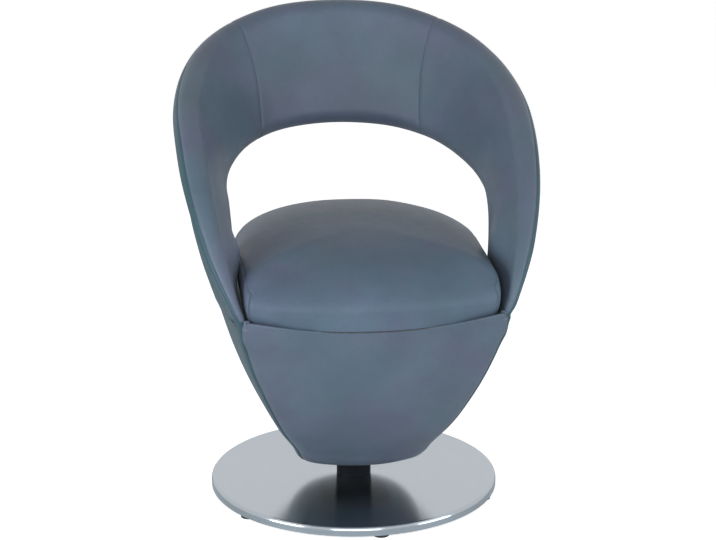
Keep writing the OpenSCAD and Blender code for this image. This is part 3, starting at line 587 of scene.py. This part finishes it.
def arm_foot(z):
    """The arm's section at a height just above the seat ring: two centres and their radii."""
    s = last_station
    while s > last_station - foot_search:
        edge, up, _, w, half, _ = hoop_frame(s)
        rim = edge + w * up
        if rim[2] >= z:
            break
        s -= foot_step
    r = half + fit_gap + cover_t
    return rim[:2], edge[:2], r * rim_share(s), r


def outside_arm(loop, z, gap, hug):
    """A level's loop moved out of the arms' feet, and drawn in to them by the share hug."""
    rim, edge, rim_r, edge_r = arm_foot(z)
    flow = float(ramp((z - seat_z + flow_h) / flow_h)) ** flow_power
    tangent = np.roll(loop, -1, axis=0) - np.roll(loop, 1, axis=0)
    normal = unit(np.column_stack([tangent[:, 1], -tangent[:, 0]]))
    mirror = np.where(loop[:, :1] < 0, -1.0, 1.0) * np.array([[1, 0]]) + np.array([[0, 1]])
    points = loop * mirror
    normal = normal * mirror
    line = edge - rim
    for _ in range(push_rounds):
        t = np.clip((points - rim) @ line / (line @ line), 0, 1)
        reach = lerp(rim_r, edge_r, t) + gap - np.linalg.norm(points - rim - t[:, None] * line, axis=1)
        close = (points[:, 0] > rim[0] - rim_r) & (t < hug_reach)
        push = reach * flow * (1 - ramp(t / push_reach))
        points = points + normal * np.where(reach > 0, push, reach * hug * close)[:, None]
        if flow < 1:
            break
    return points * mirror


def horn_share(loop):
    """How high the top edge climbs on the arms' feet, as a share, round the loop."""
    x = np.abs(loop[:, 0])
    front = np.clip((x - horn_low_x) / (horn_high_x - horn_low_x), 0, 1) ** horn_power
    rear = ramp((-loop[:, 1] - horn_rear_share * overall_d / 2) / (horn_fade_share * overall_d / 2))
    return front * rear


horn_levels = {}


def horn_point(i, z, off, share):
    """One point of the front panel's corner that lies on an arm's foot.

    Each level's loop is worked out once for every half millimetre and kept.
    """
    key = (round(2 * z / MM), off)
    if key not in horn_levels:
        k = 1 + (z - seat_z) / (seat_z - body_z)
        hug = float(ramp(share))
        horn_levels[key] = outside_arm(bucket_plan(k, off), z, horn_gap - off, hug)
    return horn_levels[key][i]


def bucket_loops(grow):
    """The lower body's outside from the hem under its foot to the facing on the seat ring."""
    height = seat_z - body_z
    off = cover_t - grow
    top = seat_z + strap_t
    loops = []
    for inset in (hem_w, 0.5 * hem_w):
        loops.append(np.column_stack([
            bucket_plan(0, inset + off), np.full(ring_n, body_z + off - hem_dip),
        ]))
    for z in spread(height):
        corner = hem_round_r * math.exp(-((z / hem_round_h) ** 2))
        outline = bucket_plan(z / height, off + corner)
        outline = outside_arm(outline, body_z + z, horn_gap - off, 0)
        loops.append(np.column_stack([outline, np.full(ring_n, body_z + z)]))
    last = loops[-1]
    climb = horn_share(last) * horn_h
    for j in range(1, horn_rows + 1):
        share = j / horn_rows
        level = seat_z + share * climb
        points = np.array(last)
        for i in range(ring_n):
            if climb[i] > horn_least:
                points[i, :2] = horn_point(i, level[i], off, share)
        points[:, 2] = level
        loops.append(points)
    rim = loops[-1]
    outwards = rim[:, :2] + np.array([0, facing_centre_share * overall_d])
    inwards = -unit(np.column_stack([outwards, np.zeros(ring_n)]))
    for step in range(1, fold_n + 1):
        angle = math.pi / 2 * step / fold_n
        points = rim + inwards * (fold_r * (1 - math.cos(angle)))
        points[:, 2] = rim[:, 2] + (top - off - seat_z) * math.sin(angle)
        loops.append(points)
    for reach in facing_reaches:
        points = rim + inwards * reach
        low = ramp((reach - fold_r) / facing_fall)
        points[:, 2] = top - off + climb * (1 - low)
        loops.append(points)
    return loops


def in_front(face, pole=None):
    """Whether a face lies in front of the two upright seams."""
    columns = [v % ring_n for v in face if v != pole]
    first = min(columns)
    cell = ring_n - 1 if max(columns) - first > 1 else first
    return cell < seam_i or cell >= ring_n - seam_i


def bucket_pieces():
    """The front panel and the cover round the rest of the lower body."""
    outer = bucket_loops(cover_t)
    inner = bucket_loops(0.0)
    sunk = []
    for loop in outer:
        centre = np.array([0, loop[:, 1].mean(), 0])
        way = unit((loop - centre) * np.array([1, 1, 0]))
        sunk.append(loop - way * seam_dip(seam_distance(loop))[:, None])
    points = np.concatenate(sunk)
    under = np.concatenate(inner)
    faces = grid_faces(ring_n, len(outer), True)
    points = soften(points, face_normals(points, faces), seed=5, amount=1.6)
    front = shell("front_panel_leather", points, under, [f for f in faces if in_front(f)])
    cover = shell("body_cover_leather", points, under, [f for f in faces if not in_front(f)])
    return front, cover


def bucket_core():
    """The foam between the moulded shell and the leather of the lower body."""
    skin = cover_t + fit_gap * 2
    outer, inner = [], []
    for k in foam_levels:
        z = np.full(ring_n, lerp(body_z, seat_z, k))
        pad = lerp(bucket_pad_low_t, bucket_pad_t, k)
        outer.append(np.column_stack([bucket_plan(k, skin), z]))
        inner.append(np.column_stack([bucket_plan(k, skin + pad - 2 * fit_gap), z]))
    faces = grid_faces(ring_n, len(foam_levels), True)
    return shell("body_foam_core", np.concatenate(outer), np.concatenate(inner), faces)


# The seat cushion: rows of its wall, of its roll, of these the ones in use, and of its top
wall_n = 9
roll_n = 30
roll_rows = 27
top_n = 12
cushion_mid_y = -overall_d / 2 * cushion_mid_share


def cushion_rows():
    """The cushion's rows of points, from the rim of its underside to the middle of its top."""
    half_d = overall_d / 2
    outline = plan(
        cushion_front_w / 2 + cushion_swell, cushion_w / 2 + cushion_side_swell,
        half_d * (1 - cushion_crown_share), half_d * cushion_crown_share,
        cushion_mid_y, half_d * cushion_rear_share, cushion_corner_r, cushion_plan_power,
    )
    middle = np.array([0, cushion_mid_y])
    outward = unit(outline - middle)
    share = np.maximum(0, (cushion_mid_y - outline[:, 1]) / (half_d * (1 - cushion_mid_share)))
    lip = np.clip(1 - (outline[:, 0] / lip_half_w) ** 2, 0, 1) * (outline[:, 1] < -half_d / 2)
    over = ramp(lip_gain * lip)
    front = ramp((share - cushion_front_zone[0]) / cushion_front_zone[1])
    corner = ramp((np.abs(outline[:, 0]) - cushion_corner_x) / cushion_corner_span)
    foot = lerp(cushion_tuck_side, cushion_tuck_front, front * (1 - corner))
    wide = cushion_h * lerp(cushion_wide_share, front_wide_share, front)
    power = lerp(roll_power, front_roll_power, front)
    fullness = lerp(roll_fullness, front_roll_fullness, front)
    wide_z = cushion_low + wide - cushion_drop * share ** 2
    rows = []
    for u in np.linspace(0, 1, wall_n + 1)[:-1]:
        out = lerp(-foot * (1 - u) ** tuck_power, lip_out * (1 - u) ** lip_power, over)
        low_z = lerp(cushion_low, wide_z, u) - front_dip * lip * (1 - u) ** 2
        rows.append(np.column_stack([outline + outward * out[:, None], low_z]))
    rise = cushion_h - wide + cushion_crown - cushion_dome
    reach = half_d * cushion_sunk_share
    shares = [math.cos(a) ** (2 / power) for a in np.linspace(0, math.pi / 2, roll_n + 1)[:roll_rows]]
    shares += [shares[-1] * (1 - k / top_n) for k in range(1, top_n)]
    for t in shares:
        place = middle + t[:, None] * (outline - middle)
        sunk = cushion_drop * (np.maximum(0, cushion_mid_y - place[:, 1]) / reach) ** 2
        z = cushion_low + wide + rise * (1 - t ** power) ** fullness
        rows.append(np.column_stack([place, z + cushion_dome * (1 - t * t) - sunk]))
    return rows


def puff(points, faces, held, cap=1.5 * MM, frames=20, rounds=60):
    """Cloth with air pressure, held along its seams, as a stuffed cover settles.

    The movement is capped, then evened out between neighbours for a number of rounds.
    """
    piece = new_object("cushion_cloth", points, faces)
    group = piece.vertex_groups.new(name="held")
    group.add([int(v) for v in np.nonzero(held)[0]], 1.0, "REPLACE")
    cloth = piece.modifiers.new("cloth", "CLOTH")
    cloth.settings.quality = 6
    cloth.settings.mass = 0.3
    cloth.settings.tension_stiffness = 12
    cloth.settings.compression_stiffness = 12
    cloth.settings.shear_stiffness = 6
    cloth.settings.bending_stiffness = 8
    cloth.settings.use_pressure = True
    cloth.settings.uniform_pressure_force = 4
    cloth.settings.vertex_group_mass = "held"
    cloth.settings.effector_weights.gravity = 0
    scene = bpy.context.scene
    for k in range(1, frames + 1):
        scene.frame_set(k)
    evaluated = piece.evaluated_get(bpy.context.evaluated_depsgraph_get())
    moved = np.array([v.co[:] for v in evaluated.data.vertices])
    scene.frame_set(1)
    bpy.data.objects.remove(piece)
    change = moved - points
    size = np.linalg.norm(change, axis=1, keepdims=True)
    change = change * np.minimum(1, cap / np.maximum(size, 1e-9))
    edges = {tuple(sorted(edge)) for face in faces for edge in zip(face, face[1:] + face[:1])}
    pairs = np.array(sorted(edges))
    pairs = np.concatenate([pairs, pairs[:, ::-1]])
    around = np.bincount(pairs[:, 0], minlength=len(points))[:, None]
    for _ in range(rounds):
        mean = np.zeros_like(change)
        np.add.at(mean, pairs[:, 0], change[pairs[:, 1]])
        change = np.where(held[:, None], 0, 0.5 * change + 0.5 * mean / around)
    return points + change


def turned(points, angle):
    """Points turned about the upright axis."""
    c, s = math.cos(angle), math.sin(angle)
    return points @ np.array([[c, -s, 0], [s, c, 0], [0, 0, 1]]).T


def cushion_dips(grid, seam_row, front):
    """How far each point of the cushion's rows is drawn down by the seams round the boxing."""
    dips = []
    for j, row in enumerate(grid):
        near = seam_distance(row)
        up = np.linalg.norm(row - grid[seam_row], axis=1)
        up = np.where(front, np.hypot(up, near), up)
        side = near if j <= seam_row else np.hypot(near, up)
        dips.append(seam_dip(np.minimum(up, side)))
    return np.concatenate(dips)


def cushion_bottom(low):
    """The cloth of the underside, from the rim of the cover to near its middle."""
    middle = np.array([0, cushion_mid_y, 0])
    rings = [low]
    for t in under_shares:
        ring = lerp(low, middle, np.array([t, t, 0]))
        ring[:, 2] = cushion_low + fit_gap
        rings.append(ring)
    outer = np.concatenate(rings)
    inner = outer + np.array([0, 0, cushion_cover_t])
    return shell("seat_bottom_cloth", outer, inner, grid_faces(ring_n, len(rings), True, flip=True))


def cushion_pieces():
    """The top and the side boxing, the cloth of the underside and the foam within."""
    loops = cushion_rows()
    rise = np.linspace(0, math.pi / 2, roll_n + 1)
    seam_row = wall_n + int(np.argmin(np.abs(np.sin(rise) ** (2 * roll_fullness) - seam_rise_share)))
    count = len(loops)
    top_z = cushion_low + cushion_h + cushion_crown
    points = np.concatenate(loops + [[[0, cushion_mid_y, top_z]]])
    pole = count * ring_n
    faces = grid_faces(ring_n, count, True)
    top = (count - 1) * ring_n
    faces += [(top + i, top + (i + 1) % ring_n, pole) for i in range(ring_n)]
    row_of = np.concatenate([np.repeat(np.arange(count), ring_n), [count]])
    col_of = np.concatenate([np.tile(np.arange(ring_n), count), [0]])
    front = (col_of < seam_i) | (col_of > ring_n - seam_i)
    on_seam = (row_of == seam_row) & ~front
    on_seam |= (row_of <= seam_row) & np.isin(col_of, seam_columns)
    points = turned(points, cushion_turn)
    points = puff(points, faces, on_seam | (row_of == 0))
    normals = face_normals(points, faces)
    dips = cushion_dips(points[:-1].reshape(count, ring_n, 3), seam_row, front[:ring_n])
    dips = np.append(dips, 0)[:, None]
    outer = soften(points - normals * dips, normals, seed=9, amount=2)
    inner = points - normals * (cushion_cover_t + 0.6 * dips)

    def is_top(face):
        return min(row_of[v] for v in face) >= seam_row or in_front(face, pole)

    cover = shell("seat_top_leather", outer, inner, [f for f in faces if is_top(f)])
    boxing = shell("seat_boxing_leather", outer, inner, [f for f in faces if not is_top(f)])
    bottom = cushion_bottom(outer[:ring_n])
    core_points = points - normals * (cushion_cover_t + 2 * fit_gap + seam_depth)
    core = new_object("seat_foam_core", core_points, faces + [tuple(range(ring_n))[::-1]])
    return cover, boxing, bottom, core


# The elastic straps under the cushion
strap_w = 50 * MM
strap_sag = 2.5 * MM
strap_free_share = 0.8
across_n = 8
along_n = 60


def strap_pieces():
    """The straps, each a thin woven band that lies on the seat ring and dips between."""
    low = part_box("seat_straps")[0]
    corners = np.array([v.co[:] for v in nodes["seat_straps"].data.vertices])
    sides = sorted({round(y, 5) for y in corners[:, 1]})
    near = 0.1 * MM
    points, faces = [], []
    for y in sides:
        if not any(abs(y + strap_w - other) < near for other in sides):
            continue
        reach = corners[np.abs(corners[:, 1] - y) < near, 0].max()
        for face_z in (0.0, strap_t):
            base = len(points)
            for j in range(along_n + 1):
                x = lerp(-reach, reach, j / along_n)
                dip = strap_sag * max(0.0, 1 - (x / (reach * strap_free_share)) ** 2)
                for i in range(across_n + 1):
                    points.append((x, y + strap_w * i / across_n, low.z + face_z - dip))
            sheet = grid_faces(across_n + 1, along_n + 1, False, flip=face_z == 0)
            faces += [tuple(base + v for v in face) for face in sheet]
    return new_object("seat_strap_webbing", points, faces)


# Materials
def new_node(tree, kind, values=None, **settings):
    """A shader node with its settings and its inputs."""
    node = tree.nodes.new("ShaderNode" + kind)
    for setting, value in settings.items():
        setattr(node, setting, value)
    fill_in(node, values or {})
    return node


def fill_in(node, values):
    """Sets inputs, given by name or place, to values or links them to another node's output."""
    for key, value in values.items():
        if isinstance(value, bpy.types.NodeSocket):
            node.id_data.links.new(value, node.inputs[key])
        else:
            node.inputs[key].default_value = value


def material(name):
    m = bpy.data.materials.new(name)
    m.use_nodes = True
    tree = m.node_tree
    tree.nodes.clear()
    shader = new_node(tree, "BsdfPrincipled")
    new_node(tree, "OutputMaterial", {"Surface": shader.outputs[0]})
    return m, tree, shader


def coordinates(tree, scale=(1, 1, 1)):
    """Object coordinates, so a pattern keeps its real size and stays on its piece."""
    values = {"Vector": new_node(tree, "TexCoord").outputs["Object"], "Scale": scale}
    return new_node(tree, "Mapping", values).outputs[0]


def noise_texture(tree, vector, scale, detail, roughness=0.5):
    values = {"Vector": vector, "Scale": scale, "Detail": detail, "Roughness": roughness}
    return new_node(tree, "TexNoise", values).outputs["Fac"]


def cells(tree, vector, scale, feature="DISTANCE_TO_EDGE"):
    values = {"Vector": vector, "Scale": scale}
    return new_node(tree, "TexVoronoi", values, feature=feature).outputs["Distance"]


def waves(tree, vector, direction, scale, distortion):
    values = {"Vector": vector, "Scale": scale, "Distortion": distortion}
    return new_node(tree, "TexWave", values, bands_direction=direction).outputs["Fac"]


def colours(tree, factor, stops):
    """A colour ramp from (place, colour) stops."""
    ramp_node = new_node(tree, "ValToRGB", {0: factor})
    band = ramp_node.color_ramp
    while len(band.elements) < len(stops):
        band.elements.new(0.5)
    for element, (place, colour) in zip(band.elements, stops):
        element.position = place
        element.color = (*colour, 1)
    return ramp_node.outputs[0]


def math_node(tree, operation, *values, clamp=False):
    inputs = dict(enumerate(values))
    return new_node(tree, "Math", inputs, operation=operation, use_clamp=clamp).outputs[0]


def mix_colour(tree, factor, a, b, mode="MIX"):
    a, b = ((*value, 1) if isinstance(value, tuple) else value for value in (a, b))
    inputs = {0: factor, 6: a, 7: b}
    return new_node(tree, "Mix", inputs, data_type="RGBA", blend_type=mode).outputs[2]


def bump(tree, shader, height, strength, distance, under=None):
    values = {"Height": height, "Strength": strength, "Distance": distance}
    if under is not None:
        values["Normal"] = under
    b = new_node(tree, "Bump", values)
    fill_in(shader, {"Normal": b.outputs[0]})
    return b.outputs[0]


def scaled(colour, factor):
    return tuple(min(1, c * factor) for c in colour)


def two_tones(tree, factor, colour, dark, light):
    """The colour made darker where a pattern is low and lighter where it is high."""
    return colours(tree, factor, [(0.3, scaled(colour, dark)), (0.7, scaled(colour, light))])


def varied(tree, factor, middle, width):
    """A value that a pattern moves up and down round its middle."""
    return math_node(tree, "MULTIPLY_ADD", factor, width, middle - width / 2)


def leather(name, colour, gloss_level=0.34):
    """Aniline-dyed leather: clouded colour, small pebbles with soft creases between them, and painted
    shade that darkens those creases.
    """
    m, tree, shader = material(name)
    at = coordinates(tree)
    cloud = noise_texture(tree, at, 11, 4, 0.55)
    fleck = noise_texture(tree, at, 70, 3, 0.6)
    grain = cells(tree, at, 620)
    fine = cells(tree, at, 1500)
    crease = noise_texture(tree, at, 160, 5, 0.7)
    shade = colours(tree, cloud, [
        (0.30, scaled(colour, 0.86)), (0.50, colour), (0.72, scaled(colour, 1.15)),
    ])
    warm = (colour[0] * 1.10, colour[1], colour[2] * 0.92)
    shade = mix_colour(tree, math_node(tree, "MULTIPLY", fleck, 0.45), shade, warm)
    hue = noise_texture(tree, at, 8, 3, 0.6)
    cast = colours(tree, hue, [
        (0.36, (0.93, 1.03, 0.99)), (0.50, (1.0, 1.0, 1.0)), (0.64, (1.06, 0.96, 1.02)),
    ])
    shade = mix_colour(tree, 1.0, shade, cast, "MULTIPLY")
    # Painted shade: the crevices between the pebbles are drawn a quarter of the way to black.
    crevice_shade_mask = math_node(tree, "MULTIPLY", grain, 9.0, clamp=True)
    shade = mix_colour(tree, crevice_shade_mask, mix_colour(tree, 0.25, shade, (0, 0, 0)), shade)
    fill_in(shader, {
        "Base Color": shade, "Roughness": varied(tree, fleck, 0.44, 0.14),
        "Specular IOR Level": gloss_level, "Sheen Weight": 0.04, "Sheen Roughness": 0.5,
    })
    low = bump(tree, shader, crease, 0.10, 0.0012)
    mid = bump(tree, shader, grain, 0.35, 0.0009, under=low)
    bump(tree, shader, fine, 0.18, 0.0004, under=mid)
    return m


def brushed_disc(name, colour, rough=0.145):
    """Sheet steel brushed round its centre, so its gloss spreads out along each radius."""
    m, tree, shader = material(name)
    at = new_node(tree, "TexCoord").outputs["Object"]
    x, y, z = new_node(tree, "SeparateXYZ", {0: at}).outputs
    squares = [math_node(tree, "POWER", part, 2) for part in (x, y)]
    radius = math_node(tree, "SQRT", math_node(tree, "ADD", *squares))
    rings = new_node(tree, "CombineXYZ", {
        0: math_node(tree, "MULTIPLY", radius, 900),
        1: math_node(tree, "MULTIPLY", math_node(tree, "ARCTAN2", y, x), 1.5),
        2: math_node(tree, "MULTIPLY", z, 200),
    })
    lines = noise_texture(tree, rings.outputs[0], 1.0, 6, 0.7)
    wear = noise_texture(tree, coordinates(tree), 14, 3, 0.5)
    lined = math_node(tree, "MULTIPLY_ADD", lines, 0.04, rough)
    tint = colours(tree, lines, [(0.25, scaled(colour, 0.96)), (0.75, scaled(colour, 1.04))])
    tangent = new_node(tree, "Tangent", direction_type="RADIAL", axis="Z")
    fill_in(shader, {
        "Base Color": tint, "Metallic": 1.0,
        "Roughness": math_node(tree, "MULTIPLY_ADD", wear, 0.02, lined),
        "Anisotropic": 0.9, "Anisotropic Rotation": 0.25, "Tangent": tangent.outputs[0],
    })
    bump(tree, shader, lines, 0.003, 0.0002)
    return m


def metal(name, colour, rough):
    """Ground or plated steel with fine lines round its axis."""
    m, tree, shader = material(name)
    lines = noise_texture(tree, coordinates(tree, (40, 40, 900)), 1.0, 4, 0.6)
    wear = noise_texture(tree, coordinates(tree), 60, 3)
    fill_in(shader, {
        "Base Color": two_tones(tree, lines, colour, 0.85, 1.12),
        "Metallic": 1.0, "Roughness": varied(tree, wear, rough, 0.18),
    })
    bump(tree, shader, lines, 0.06, 0.0002)
    return m


def coated(name, colour, rough, scale=900, strength=0.2, gloss_level=0.5):
    """Powder coat, moulded plastic or nylon: an even colour with a fine orange-peel surface."""
    m, tree, shader = material(name)
    at = coordinates(tree)
    peel = noise_texture(tree, at, scale, 2)
    cloud = noise_texture(tree, at, 30, 3)
    fill_in(shader, {
        "Base Color": two_tones(tree, cloud, colour, 0.85, 1.15),
        "Roughness": varied(tree, cloud, rough, 0.12), "Specular IOR Level": gloss_level,
    })
    bump(tree, shader, peel, strength, 0.0003)
    return m


def plywood(name, colour):
    """Birch plywood: long grain on its faces and thin veneers along its edges."""
    m, tree, shader = material(name)
    grain = noise_texture(tree, coordinates(tree, (6, 60, 60)), 3.0, 6, 0.65)
    layers = waves(tree, coordinates(tree), "Z", 110, 0.6)
    tint = colours(tree, grain, [
        (0.30, scaled(colour, 0.70)), (0.50, colour), (0.70, scaled(colour, 1.18)),
    ])
    veneer = math_node(tree, "MULTIPLY", layers, 0.35)
    tint = mix_colour(tree, veneer, tint, scaled(colour, 0.5))
    fill_in(shader, {"Base Color": tint, "Roughness": 0.62})
    bump(tree, shader, grain, 0.25, 0.0006)
    return m


def woven(name, colour):
    """Plain-woven cloth: threads that pass over and under one another."""
    m, tree, shader = material(name)
    at = coordinates(tree)
    pitch = 1.2 * MM
    threads = [waves(tree, at, direction, 1 / (pitch * math.pi), 0.3) for direction in ("X", "Y")]
    weave = math_node(tree, "MULTIPLY", *threads)
    tint = colours(tree, weave, [(0.1, scaled(colour, 0.6)), (0.8, scaled(colour, 1.4))])
    fill_in(shader, {"Base Color": tint, "Roughness": 0.85, "Sheen Weight": 0.2})
    bump(tree, shader, weave, 0.5, 0.0004)
    return m


def foam(name, colour):
    """Cold moulded foam: a skin with small open pores."""
    m, tree, shader = material(name)
    at = coordinates(tree)
    pores = cells(tree, at, 700, "F1")
    cloud = noise_texture(tree, at, 25, 4)
    fill_in(shader, {"Base Color": two_tones(tree, cloud, colour, 0.88, 1.05), "Roughness": 0.9})
    bump(tree, shader, pores, 0.5, 0.0006)
    return m


materials = {
    "brushed_disc": brushed_disc("brushed_disc", (0.42, 0.46, 0.50)),
    "dark_steel": coated("dark_steel", (0.03, 0.03, 0.032), 0.48),
    "black_sleeve": coated("black_sleeve", (0.004, 0.005, 0.007), 0.6, 700, 0.1, 0.12),
    "nylon": coated("nylon", (0.75, 0.74, 0.70), 0.55, 400, 0.1),
    "bearing_steel": metal("bearing_steel", (0.55, 0.56, 0.58), 0.25),
    "cage_brass": metal("cage_brass", (0.55, 0.40, 0.14), 0.35),
    "zinc_steel": metal("zinc_steel", (0.48, 0.48, 0.50), 0.38),
    "black_plastic": coated("black_plastic", (0.012, 0.012, 0.012), 0.5),
    "plywood": plywood("plywood", (0.56, 0.38, 0.19)),
    "black_cloth": woven("black_cloth", (0.012, 0.012, 0.014)),
    "foam": foam("foam", (0.80, 0.72, 0.45)),
    "inner_leather": leather("inner_leather", (0.080, 0.107, 0.149)),
    "outer_leather": leather("outer_leather", (0.024, 0.064, 0.086)),
    "seat_leather": leather("seat_leather", (0.078, 0.109, 0.154), gloss_level=0.20),
    "under_cloth": woven("under_cloth", (0.03, 0.035, 0.04)),
}


def dress(piece, slot_name):
    """Gives a piece its material and lets it turn with the chair."""
    piece.data.materials.clear()
    piece.data.materials.append(materials[slot_name])
    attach(piece, "chair")


for name, node in nodes.items():
    node.data.materials.clear()
    node.data.materials.append(materials[slot_of[name]])

# The leather and the foam of the hoop
hoop_plan = [
    ("back_panel", -back_seam, back_seam, False, "inner_leather"),
    ("arm_panel_left", -last_station, -back_seam, False, "inner_leather"),
    ("arm_panel_right", back_seam, last_station, False, "inner_leather"),
    ("outer_back", -outer_seam, outer_seam, True, "outer_leather"),
    ("outer_arm_left", -last_station, -outer_seam, True, "outer_leather"),
    ("outer_arm_right", outer_seam, last_station, True, "outer_leather"),
]
for k, (name, first, last, outside, slot_name) in enumerate(hoop_plan):
    piece = hoop_panel(name + "_leather", first, last, outside, 3.0 * k)
    dress(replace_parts(piece, name), slot_name)
for name, first, last in (
    ("back_foam", -outer_seam, outer_seam),
    ("arm_foam_left", -last_station + 0.1, -outer_seam),
    ("arm_foam_right", outer_seam, last_station - 0.1),
):
    dress(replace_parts(hoop_core(name + "_core", first, last), name), "foam")

# The lower body
front_piece, cover_piece = bucket_pieces()
dress(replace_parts(front_piece, "front_panel", "front_facing"), "inner_leather")
dress(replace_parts(cover_piece, "body_cover", "rear_facing"), "outer_leather")
dress(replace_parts(bucket_core(), "bucket_foam"), "foam")

# The seat cushion
seat_top, seat_side, seat_bottom, seat_core = cushion_pieces()
dress(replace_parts(seat_top, "seat_top_cover"), "seat_leather")
dress(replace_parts(seat_side, "seat_boxing"), "seat_leather")
dress(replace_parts(seat_bottom, "seat_bottom_cover"), "under_cloth")
dress(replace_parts(seat_core, "seat_foam"), "foam")
dress(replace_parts(strap_pieces(), "seat_straps"), "black_cloth")

# The floor, the light and the camera
floor_r = 9.0
bpy.ops.mesh.primitive_circle_add(vertices=96, radius=floor_r, fill_type="NGON")
floor = bpy.context.object
floor.name = "floor"
floor_material, floor_tree, floor_shader = material("floor_white")
fill_in(floor_shader, {
    "Base Color": (0.86, 0.86, 0.86, 1), "Roughness": 0.9, "Specular IOR Level": 0.1,
})
rays = new_node(floor_tree, "LightPath").outputs
glow_amount = math_node(floor_tree, "MULTIPLY", rays["Is Camera Ray"], 0.72)
glow = new_node(floor_tree, "Emission", {"Color": (1, 1, 1, 1), "Strength": glow_amount})
blend = new_node(floor_tree, "AddShader", {0: floor_shader.outputs[0], 1: glow.outputs[0]})
floor_out = [n for n in floor_tree.nodes if n.type == "OUTPUT_MATERIAL"][0]
fill_in(floor_out, {"Surface": blend.outputs[0]})
floor.data.materials.append(floor_material)

world = bpy.data.worlds.new("studio")
world.use_nodes = True
bpy.context.scene.world = world
wt = world.node_tree
rays = new_node(wt, "LightPath").outputs
seen = math_node(wt, "MAXIMUM", rays["Is Camera Ray"], rays["Is Glossy Ray"])
seen = math_node(wt, "MAXIMUM", seen, rays["Is Transmission Ray"])
ambient = 0.30
strength = math_node(wt, "MULTIPLY_ADD", seen, 1 - ambient, ambient)
fill_in(wt.nodes["Background"], {"Color": (1, 1, 1, 1), "Strength": strength})


def area_light(name, place, target, size, power, colour):
    data = bpy.data.lights.new(name, "AREA")
    data.shape = "RECTANGLE"
    data.size, data.size_y = size
    data.energy = power
    data.color = colour
    lamp = bpy.data.objects.new(name, data)
    bpy.context.collection.objects.link(lamp)
    lamp.location = place
    lamp.rotation_euler = (Vector(target) - Vector(place)).to_track_quat("-Z", "Y").to_euler()


area_light("left", (-2.2, -1.3, 0.90), (0, -0.1, 0.45), (1.2, 1.2), 40, (0.88, 0.96, 1.0))
area_light("right", (2.1, -1.4, 0.90), (0, -0.1, 0.45), (1.2, 1.2), 27, (0.88, 0.96, 1.0))
area_light("front", (-0.2, -2.2, 1.15), (0, -0.25, 0.40), (1.5, 0.9), 27, (0.86, 0.95, 1.0))

# The camera stood three metres off, a little to the left, and looked down at the seat
camera_distance = 3.125
camera_height = 1.295
camera_turn = math.radians(7.5)
camera_yaw = math.radians(0.14)
camera_pitch = math.radians(16.18)
camera_data = bpy.data.cameras.new("camera")
camera_data.lens = 95.6
camera_data.sensor_width = 36
camera = bpy.data.objects.new("camera", camera_data)
bpy.context.collection.objects.link(camera)
camera.location = (
    -camera_distance * math.sin(camera_turn), -camera_distance * math.cos(camera_turn), camera_height
)
camera.rotation_euler = (math.pi / 2 - camera_pitch, 0, -(camera_turn + camera_yaw))
bpy.context.scene.camera = camera
bpy.context.scene.view_settings.view_transform = "Standard"
